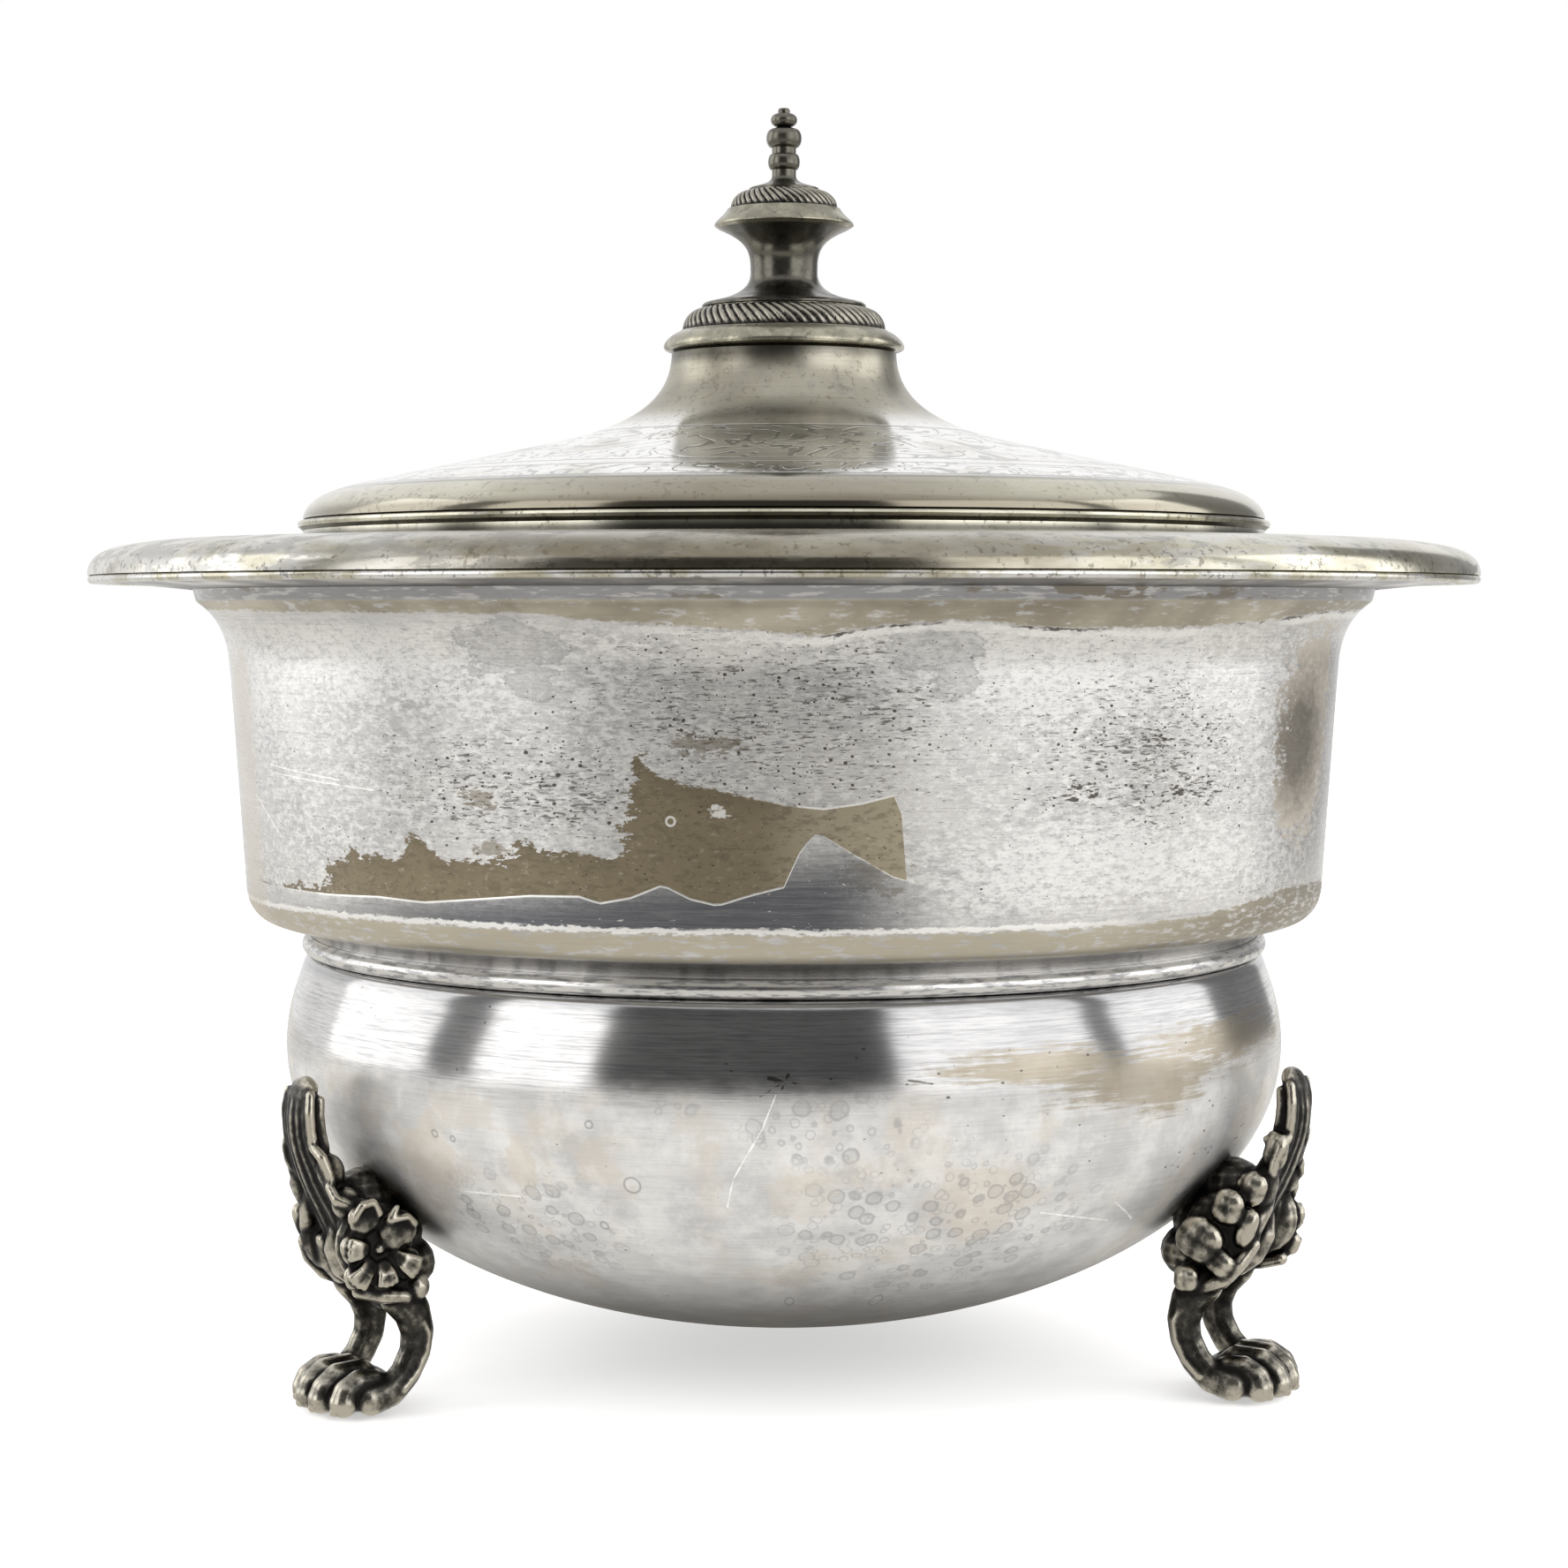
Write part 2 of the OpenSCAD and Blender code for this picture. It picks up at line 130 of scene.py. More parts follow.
def seed(name, at):
    """A new mesh of one point, in edit mode, with its object at the origin."""
    object_mode()
    bpy.ops.mesh.primitive_plane_add(size=MM, location=at)
    piece = bpy.context.object
    piece.name = name
    bpy.ops.object.transform_apply(location=True, rotation=True, scale=True)
    bpy.ops.object.mode_set(mode="EDIT")
    bpy.ops.mesh.select_all(action="SELECT")
    bpy.ops.mesh.merge(type="CENTER")
    return piece


def close_up():
    """Clears loose points, turns all faces outwards and leaves edit mode."""
    bpy.ops.mesh.select_all(action="SELECT")
    bpy.ops.mesh.delete_loose(use_verts=True, use_edges=True, use_faces=False)
    bpy.ops.mesh.select_all(action="SELECT")
    bpy.ops.mesh.normals_make_consistent(inside=False)
    bpy.ops.object.mode_set(mode="OBJECT")


def turned(name, outline, steps, crease=35):
    """A ring of the given closed outline, spun once round the axis of the bowl."""
    outline = tidy(outline)
    piece = seed(name, (outline[0][0] * MM, 0, outline[0][1] * MM))
    for here, there in zip(outline, outline[1:] + outline[:1]):
        move = ((there[0] - here[0]) * MM, 0, (there[1] - here[1]) * MM)
        bpy.ops.mesh.extrude_vertices_move(TRANSFORM_OT_translate={"value": move})
    bpy.ops.mesh.select_all(action="SELECT")
    bpy.ops.mesh.remove_doubles(threshold=SAME_POINT)
    bpy.ops.mesh.spin(steps=steps, angle=2 * math.pi, center=(0, 0, 0), axis=(0, 0, 1))
    bpy.ops.mesh.select_all(action="SELECT")
    bpy.ops.mesh.remove_doubles(threshold=SAME_POINT)
    close_up()
    bpy.ops.object.shade_smooth_by_angle(angle=math.radians(crease))
    return piece


def points_of(piece):
    co = np.zeros(len(piece.data.vertices) * 3, np.float32)
    piece.data.vertices.foreach_get("co", co)
    return co.reshape(-1, 3).astype(float) / MM


def place_points(piece, co):
    piece.data.vertices.foreach_set("co", (co * MM).astype(np.float32).ravel())
    piece.data.update()


def mark(piece, name, values):
    """Stores one number per point, for the finish to read."""
    layer = piece.data.attributes.new(name, "FLOAT", "POINT")
    layer.data.foreach_set("value", values.astype(np.float32))


def coat(piece, finish):
    piece.data.materials.clear()
    piece.data.materials.append(finish)


def stands_for(piece, body, node, finish):
    coat(piece, finish)
    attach(piece, body)
    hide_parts(node)


def fineness():
    return bpy.context.scene.sugar_bowl_fineness


def mm(name):
    """One of the sizes in the panel, in millimetres."""
    return getattr(bpy.context.scene.sugar_bowl_sizes, name) / MM


# Heights and radii that more than one piece uses, in millimetres

def levels():
    ring_low, ring_high = low("neck_ring"), high("neck_ring")
    edge_z = low("rim_top").z
    collar_z = edge_z - mm("collar_h") - 0.3
    drum_top_z = collar_z - mm("collar_cove")
    return {
        "foot": ring_low.z,
        "shoulder": ring_low.z - 0.05,
        "neck_top": ring_high.z + 0.05,
        "corner": ring_high.z + 0.05 + mm("step_h"),
        "drum": ring_high.z + 0.05 + mm("step_h") + mm("corner_h"),
        "drum_top": drum_top_z,
        "collar": collar_z,
        "edge": edge_z,
        "rim": high("rim_top").z,
        "neck_r": ring_high.x - 0.05 - mm("ring_out"),
    }


def bulb_outline(n):
    """The outer outline of the lower bowl, from the axis up to the shoulder."""
    at = levels()
    bottom, widest = low("lower_bowl").z, high("lower_bowl").x
    middle = at["shoulder"] - mm("bulb_rise")
    neck, shoulder = at["neck_r"], at["shoulder"]
    return (arc((0, middle), (widest, middle - bottom), -90, 0, n)
            + curve((widest, middle), (widest, middle + 0.35 * mm("bulb_rise")),
                    (neck + 1.7, shoulder - 3.8), (neck + 1, shoulder - 1.8), 14)
            + curve((neck + 1, shoulder - 1.8), (neck + 0.7, shoulder - 0.8),
                    (neck + 0.4, shoulder), (neck - 0.1, shoulder), 6))


# Finishes

class Wire:
    """A socket of a finish, so that shader maths reads as arithmetic."""

    def __init__(self, finish, socket):
        self.finish = finish
        self.socket = socket

    def __add__(self, other):
        return self.finish.maths("ADD", self, other)

    def __radd__(self, other):
        return self.finish.maths("ADD", other, self)

    def __sub__(self, other):
        return self.finish.maths("SUBTRACT", self, other)

    def __rsub__(self, other):
        return self.finish.maths("SUBTRACT", other, self)

    def __mul__(self, other):
        return self.finish.maths("MULTIPLY", self, other)

    def __rmul__(self, other):
        return self.finish.maths("MULTIPLY", other, self)

    def __truediv__(self, other):
        return self.finish.maths("DIVIDE", self, other)

    def __neg__(self):
        return self.finish.maths("MULTIPLY", self, -1)


class Finish:
    """A finish's nodes, with the place on the bowl in millimetres and degrees from the front."""

    def __init__(self, name, base=None):
        self.colour = base
        self.material = bpy.data.materials.new(name)
        self.material.use_nodes = True
        self.tree = self.material.node_tree
        self.tree.nodes.clear()
        output = self.tree.nodes.new("ShaderNodeOutputMaterial")
        skin = self.tree.nodes.new("ShaderNodeBsdfPrincipled")
        self.tree.links.new(skin.outputs[0], output.inputs["Surface"])
        self.skin = skin.inputs
        self.place = self.node("Mapping", {}, {
            "Vector": self.node("TexCoord", out="Object"),
            "Rotation": (0, 0, BACK_TO_FRONT), "Scale": (1 / MM,) * 3})
        self.x = self.node("SeparateXYZ", {}, {0: self.place})
        self.y, self.z = (Wire(self, self.x.socket.node.outputs[i]) for i in (1, 2))
        self.angle = self.maths("ARCTAN2", self.x, -self.y) * math.degrees(1)
        self.out = self.maths("SQRT", self.x * self.x + self.y * self.y)
        self.flat = self.node("CombineXYZ", {}, {0: self.angle, 1: self.z})
        self.wobble = None

    def fill(self, socket, value):
        """Gives a socket a wire, a number, a vector or a colour."""
        if isinstance(value, Wire):
            self.tree.links.new(value.socket, socket)
        elif socket.type == "RGBA":
            socket.default_value = (*value[:3], 1)
        else:
            socket.default_value = value

    def node(self, kind, settings=None, values=None, out=0):
        """Adds a node: its settings first, then the values or wires of its sockets."""
        made = self.tree.nodes.new("ShaderNode" + kind)
        for name, value in (settings or {}).items():
            if name == "points":
                self.set_points(made.mapping, value)
            else:
                setattr(made, name, value)
        for name, value in (values or {}).items():
            self.fill(made.inputs[name], value)
        return Wire(self, made.outputs[out])

    def set_points(self, mapping, points):
        line = mapping.curves[0].points
        while len(line) < len(points):
            line.new(0.5, 0.5)
        for point, place in zip(line, points):
            point.location = place
            point.handle_type = "VECTOR"
        mapping.update()

    def maths(self, operation, *values):
        return self.node("Math", {"operation": operation}, dict(enumerate(values)))

    def vector(self, operation, *values, out=0):
        return self.node("VectorMath", {"operation": operation}, dict(enumerate(values)), out)

    def clip(self, value):
        return self.node("Math", {"operation": "ADD", "use_clamp": True}, {0: value, 1: 0.0})

    def ramp(self, value, start, end):
        """0 at start and 1 at end, easing between them."""
        return self.node("MapRange", {"interpolation_type": "SMOOTHSTEP"},
                         {"Value": value, "From Min": start, "From Max": end})

    def band(self, value, start, end, soft):
        """1 between start and end, fading over soft at each side."""
        return self.ramp(value, start - soft, start + soft) * self.ramp(value, end + soft, end - soft)

    def magnitude(self, value):
        return self.maths("ABSOLUTE", value)

    def most(self, *values):
        result = values[0]
        for value in values[1:]:
            result = self.maths("MAXIMUM", result, value)
        return result

    def mix(self, share, a, b):
        return self.node("Mix", {"data_type": "FLOAT"}, {0: share, 2: a, 3: b})

    def tint(self, share, a, b):
        """One colour over another; each is a name from the panel, a colour or a wire."""
        below, over = (shade(c) if isinstance(c, str) else c for c in (a, b))
        return self.node("Mix", {"data_type": "RGBA"}, {0: share, 6: below, 7: over}, out=2)

    def lay(self, share, colour):
        """Lays a colour over the finish so far."""
        self.colour = self.tint(share, self.colour, colour)

    def spread(self, size, squash, shift):
        """The place, scaled for a grain of size millimetres, and less where squash is more."""
        return self.vector("MULTIPLY_ADD", self.place, tuple(s / size for s in squash),
                           (shift, 0.7 * shift, 1.3 * shift))

    def noise(self, size, detail=3.0, rough=0.5, squash=(1, 1, 1), shift=0.0, warp=0.0):
        return self.node("TexNoise", {}, {
            "Vector": self.spread(size, squash, shift), "Scale": 1.0, "Detail": detail,
            "Roughness": rough, "Distortion": warp})

    def cells(self, size, squash=(1, 1, 1), shift=0.0):
        return self.node("TexVoronoi", {}, {"Vector": self.spread(size, squash, shift), "Scale": 1.0})

    def spot(self, angle, height, wide, tall):
        """1 in the middle of an egg-shaped patch on the wall, 0 on its edge and less outside."""
        near = self.vector("MULTIPLY_ADD", self.flat, (1 / wide, 1 / tall, 0),
                           (-angle / wide, -height / tall, 0))
        return 1 - self.vector("LENGTH", near, out=1)

    def patch(self, *spots):
        """Several spots run together."""
        return self.most(*[self.spot(*s) for s in spots])

    def edge(self, *points, over=None):
        """A height in millimetres that follows the given (degrees from the front, height) points."""
        lowest, reach = 5, 85
        steps = [((angle + 90) / 180, (height - lowest) / reach) for angle, height in points]
        across = (over or self.angle) / 180 + 0.5
        return self.node("FloatCurve", {"points": steps}, {"Value": across}) * reach + lowest

    def scratch(self, start, end, radius, width, wander=0.3):
        """A thin line between two (angle, height) places on a wall of the given radius."""
        per = radius * math.pi / 180
        a, b = Vector((start[0] * per, start[1], 0)), Vector((end[0] * per, end[1], 0))
        there = self.vector("MULTIPLY_ADD", self.flat, (per, 1, 0), -a)
        along = self.vector("DOT_PRODUCT", there, (b - a) / (b - a).length_squared, out=1)
        back = self.node("VectorMath", {"operation": "SCALE"}, {0: b - a, "Scale": self.clip(along)})
        gap = self.vector("DISTANCE", there, back, out=1)
        if self.wobble is None:
            self.wobble = self.noise(1.1, 2, 0.6) - 0.5
        return self.ramp(gap + self.wobble * wander, width, 0.4 * width)

    def ring(self, angle, height, radius, size):
        """A small ring-shaped stain."""
        per = radius * math.pi / 180
        there = self.vector("MULTIPLY_ADD", self.flat, (per, 1, 0), (-angle * per, -height, 0))
        return self.ramp(self.magnitude(self.vector("LENGTH", there, out=1) - size), 0.16, 0.05)

    def bump(self, height, distance, over=None):
        values = {"Height": height, "Distance": distance * MM}
        if over:
            values["Normal"] = over
        return self.node("Bump", {}, values)

    def finish(self, roughness, normal, metal=1.0):
        for name, value in (("Base Color", self.colour), ("Roughness", roughness), ("Metallic", metal),
                            ("Normal", normal)):
            self.fill(self.skin[name], value)
        return self.material


def shade(name):
    """One of the colours in the panel."""
    return tuple(getattr(bpy.context.scene.sugar_bowl_colours, name))


def hairlines(f, fine=1.0, shift=3.0):
    """Hairlines that run round the wall, from 0 to 1."""
    long = f.noise(9.0, 2, 0.6, (0.35, 0.35, 40 * fine), shift)
    short = f.noise(3.0, 2, 0.6, (1, 1, 22 * fine), shift + 6)
    return 0.5 * long + 0.5 * short


def dashes(f, crowd, shift=0.0):
    """Short dark scratches that run round the wall, more of them where crowd is 1."""
    grain = f.noise(1.3, 4, 0.62, (1, 1, 5.5), shift)
    gathered = f.noise(6.5, 3, 0.6, (1, 1, 2), shift + 9) - 0.5
    return f.ramp(grain + crowd * 0.11 + gathered * 0.20, 0.665, 0.73)


def pits(f, size, crowd, shift=0.0):
    """Small dark corroded pits, more of them where crowd is 1."""
    grain = f.cells(size, shift=shift, squash=(1, 1, 1.5))
    patchy = f.noise(3.2 * size, 4, 0.65, shift=shift + 4)
    return f.ramp(grain - 0.5 * (patchy - 0.5) - 0.10 * crowd, 0.085, 0.01)


def drops(f, size, shift=0.0):
    """Round stains that dried drops leave: (1 on an outline, 1 inside)."""
    wavy = f.noise(1.1 * size, 3, 0.6, shift=shift + 5) - 0.5
    reach = f.cells(size, shift=shift) + wavy * 0.5
    gap = reach - 0.30
    line = f.ramp(f.magnitude(gap), 0.07, 0.02)
    return line, f.ramp(gap, 0.02, -0.02)


def plate_skin(f, rough, lines, height=0.006, dents=None, metal=1.0):
    """Finishes a plated wall: hairlines in its shine and its surface."""
    normal = f.bump(lines, height)
    if dents:
        normal = f.bump(dents, 0.05, over=normal)
    return f.finish(f.clip(rough + (lines - 0.5) * 0.10), normal, metal)


def drum_finish():
    f = Finish("worn_plate_wall", "silver")
    lines = hairlines(f)
    ragged = f.noise(2.6, 5, 0.65, (1, 1, 2.2), 2.0) - 0.5
    fine_ragged = f.noise(0.9, 3, 0.6, (1, 1, 2.5), 5.0) - 0.5
    cloud = f.noise(14, 4, 0.55, (1, 1, 1.4), 1.0)
    wall = f.band(f.z, 53.0, 82.0, 2.0)
    wall_r = 61

    # The plate itself: dull grey under a mottled pale film, with grey hairlines
    f.lay(f.ramp(cloud, 0.32, 0.68), "dull_silver")
    f.lay(f.ramp(lines, 0.46, 0.72) * 0.5, "slate")
    pale_side = f.clip(f.patch((-45, 80, 26, 7), (-66, 76, 14, 8), (30, 78, 26, 7), (35, 58, 26, 6))
                       * 1.5)
    mottle = f.noise(1.3, 5, 0.7, (1, 1, 2.2), 8.0) + 0.5 * (cloud - 0.5) + 0.12 * pale_side
    film = f.ramp(mottle, 0.42, 0.66) * wall
    f.lay(film * 0.55, "film")
    fleck = f.noise(0.62, 3, 0.7, (1, 1, 2.4), 14.0) + 0.25 * (cloud - 0.5)
    f.lay(f.ramp(fleck, 0.56, 0.64) * wall * 0.34, "slate")
    f.lay(f.ramp(fleck, 0.42, 0.36) * wall * 0.35, "film")
    shine = 0.28 + 0.10 * film

    # Grey stains near the top, with darker outlines
    stain_field = f.patch((-25, 79.5, 5.5, 3.2), (-23, 76.5, 3, 2), (13.5, 79.5, 5, 2.2),
                          (15.5, 76.8, 2.2, 2.2)) + ragged * 2.4
    stain = f.ramp(stain_field, 0.1, 0.3)
    f.lay(stain * 0.28, "slate")
    f.lay(f.band(stain_field, 0.06, 0.2, 0.06) * 0.5, "slate")

    # Dashes and pits, thickest across the front and right
    crowd = f.clip(f.patch((0, 73, 24, 12), (36, 69, 20, 11), (-25, 66, 22, 8)) * 1.6)
    f.lay(dashes(f, crowd, 3.0) * wall * 0.75, "pit")
    f.lay(dashes(f, crowd - 0.2, 17.0) * wall * 0.6, "slate")
    pitted = f.most(pits(f, 1.25, crowd, 1.0), pits(f, 0.75, crowd - 0.2, 7.0)) * wall
    speckled = f.clip(f.patch((42, 65, 6, 2.6), (28, 65.5, 3.5, 1.6), (37, 70, 3, 1.4)) * 2.5)
    speckle = f.ramp(f.noise(1.5, 3, 0.7, (1, 1, 4), 11.0) + 0.20 * speckled, 0.74, 0.78) * speckled
    f.lay(f.most(pitted, speckle) * 0.9, "pit")

    # The long bare patch low on the front, with the slate band under its peeled edge
    peel = f.edge((-90, 54.2), (-50, 54.2), (-42, 54.5), (-36, 54.3), (-30, 54.9), (-24, 55.5),
                  (-19, 55.6), (-17, 55.0), (-14, 55.6), (-11, 56.9), (-8.5, 55.6), (-6, 55.0),
                  (-3, 56.0), (0, 56.8), (1.6, 60.5), (3, 62.0), (6, 60.0), (10, 57.6), (14, 56.5),
                  (90, 54.2))
    loose = f.ramp(f.angle, 1.5, -7)
    crest = f.edge((-90, 53), (-51, 55), (-49, 57.6), (-45, 59.0), (-40, 58.3), (-38, 59.4),
                   (-36.8, 61.4), (-35.4, 59.6), (-33, 58.3), (-27, 58.8), (-24.2, 61.2), (-22.6, 59.5),
                   (-19, 60.0), (-16, 59.2), (-14.4, 59.8), (-13.8, 68.0), (-12.6, 70.0), (-11.6, 67.4),
                   (-8, 66.4), (-4, 65.5), (0, 64.6), (3.5, 64.2), (7, 64.7), (10.4, 65.6), (11, 58),
                   (12, 50), (90, 50), over=f.angle + loose * (ragged * 7 + fine_ragged * 3))
    below_crest = crest - f.z + loose * (ragged * 2.4 + fine_ragged * 2.6)
    bare = f.ramp(f.z - peel, 0.0, 0.12) * f.ramp(below_crest, -0.10, 0.12)
    islands = f.ramp(f.patch((-29, 64.8, 2.4, 1.2), (-7, 70.3, 4, 1.2), (8, 58, 3.4, 2.4),
                             (-28, 59.9, 4, 0.8))
                     + ragged * 3 + fine_ragged * 2.5, 0.25, 0.45)
    bare = f.most(bare, islands * 0.6)
    lobe = f.ramp(f.angle, -3, 3)
    spots = f.most(f.ring(-10.2, 63, wall_r, 0.42),
                   f.ramp(f.patch((-6, 63.8, 2.4, 1.3)) + ragged * 2.2, 0.5, 0.6))
    bare_colour = f.tint(lobe * 0.55, "brass", "pale_brass")
    for share, over in ((f.ramp(cloud, 0.4, 0.65) * 0.15, "dark_brass"),
                        (f.ramp(below_crest, 2.6, 0.2) * (1 - lobe) * 0.35, "dark_brass"),
                        (f.ramp(f.noise(1.4, 4, 0.7, (1, 1, 2.4), 44.0), 0.48, 0.62) * 0.5,
                         "dark_brass"),
                        (f.ramp(f.noise(1.0, 4, 0.7, (1, 1, 2), 48.0), 0.58, 0.68) * 0.28, "beige"),
                        (pits(f, 0.8, 0.5, 21.0) * 0.85, "pit"), (spots * 0.8, "film")):
        bare_colour = f.tint(share, bare_colour, over)
    f.lay(bare, bare_colour)
    slate = (f.ramp(peel - f.z, 0.0, 0.12) * f.ramp(f.z, 52.1, 52.5) * f.ramp(f.angle, -72, -34)
             * f.ramp(f.angle, 17, 3) * f.ramp(f.z - 0.12 * f.angle, 62.5, 55.5))
    f.lay(slate * (0.93 + 0.6 * (lines - 0.5)), "deep_slate")
    flecks = f.ramp(f.noise(1.0, 4, 0.7, (1, 1, 3), 52.0), 0.66, 0.70) * slate
    f.lay(flecks * 0.8, "film")
    lip = f.band(f.z - peel, -0.10, 0.10, 0.05) * f.band(f.angle, -52, 2.5, 1.0)
    arc_line = f.band(f.z - crest, -0.08, 0.10, 0.05) * f.band(f.angle, 1.0, 10.6, 0.6)
    f.lay(f.most(lip, arc_line * 0.7) * 0.85, "film")

    # Bare corner under the wall, bare cove under the collar, and the tall worn patch on the right
    corner = f.edge((-90, 52.3), (-75, 51.7), (-60, 51.9), (-40, 52.15), (30, 52.2), (44, 52.4),
                    (50, 53.2), (60, 54.2), (72, 54.0), (90, 52.3))
    corner_gap = corner - f.z + fine_ragged * 0.9 + ragged * 0.6
    corner_bare = f.ramp(corner_gap, -0.05, 0.15) * f.ramp(f.z, 48.9, 49.4)
    corner_bare = corner_bare * f.ramp(f.noise(2.0, 4, 0.65, (1, 1, 4), 61.0), 0.36, 0.5)
    f.lay(corner_bare * 0.8, f.tint(f.band(f.angle, 42, 150, 12), "pale_brass", "brass"))
    white_edge = f.band(corner_gap, -0.55, -0.05, 0.12) * f.band(f.angle, -150, 34, 8)
    f.lay(white_edge * 0.9, "film")
    cove = f.edge((-90, 83.2), (-56, 82.9), (-22, 82.7), (-18, 82.2), (-10, 81.6), (-4, 81.2),
                  (3, 80.6), (8, 81.6), (15, 82.1), (25, 81.3), (38, 81.3), (50, 82.0), (62, 83.0),
                  (90, 83.2))
    cove_gap = f.z - cove + fine_ragged * 0.8 + ragged * 0.7
    cove_bare = f.ramp(cove_gap, -0.05, 0.2) * f.ramp(f.z, 84.3, 83.9) * f.ramp(
        f.noise(2.4, 4, 0.65, (1, 1, 4), 63.0), 0.30, 0.46)
    f.lay(cove_bare * 0.8, f.tint(f.ramp(cloud, 0.3, 0.7), "pale_brass", "brass"))
    cove_line = f.band(cove_gap, -0.22, 0.0, 0.07) * f.ramp(f.noise(6, 3, 0.6, (1, 1, 0.5), 30.0), 0.46,
                                                            0.56)
    cove_white = f.band(cove_gap, -0.9, -0.2, 0.2) * f.band(f.angle, -13, 150, 5)
    f.lay(cove_white * f.ramp(cloud, 0.4, 0.6) * 0.6, "film")
    f.lay(cove_line * f.band(f.angle, -12, 150, 4) * 0.9, "pit")
    tall = f.patch((63, 70, 9, 12.5), (60, 63.5, 5, 5),
                   (65, 76, 7, 6)) + ragged * 1.5 + fine_ragged * 1.1
    tall_bare = f.ramp(tall, 0.06, 0.32)
    tall_colour = f.tint(f.clip(f.spot(60.5, 69.5, 9, 9) * 1.6 + ragged), "beige", "dark_brass")
    f.lay(tall_bare * 0.85, tall_colour)
    left_rub = f.band(f.angle, -75, -66, 2.5) * f.ramp(f.z + ragged * 8, 80, 77)
    f.lay(left_rub * 0.6, "beige")

    # The collar stays dark, with pale rubbed streaks
    collar = f.ramp(f.z, 83.9, 84.3)
    streaks = f.ramp(f.noise(3.2, 3, 0.6, (1, 1, 7), 40.0), 0.52, 0.62)
    collar_colour = f.tint(streaks * 0.5, "slate", "silver")
    collar_colour = f.tint(f.ramp(f.noise(5, 3, 0.6, (1, 1, 3), 50.0) + 0.12
                                  * f.clip(f.spot(33, 85.5, 18, 3) * 2), 0.60, 0.66),
                           collar_colour, "dark_brass")
    f.lay(collar * 0.8, collar_colour)

    # Long bright scratches on the left
    bright = f.most(f.scratch((-61, 67.0), (-47, 66.0), wall_r, 0.10),
                    f.scratch((-60, 66.2), (-42, 65.2), wall_r, 0.10),
                    f.scratch((-66, 63.5), (-60, 60.0), wall_r, 0.12))
    f.lay(bright * 0.8, "film")
    metal_bare = f.most(bare, tall_bare, cove_bare, corner_bare)
    rough = shine + 0.10 * metal_bare + 0.15 * pitted
    dents = 1 - f.most(pitted, 0.35 * bare)
    return plate_skin(f, rough, lines, dents=dents)


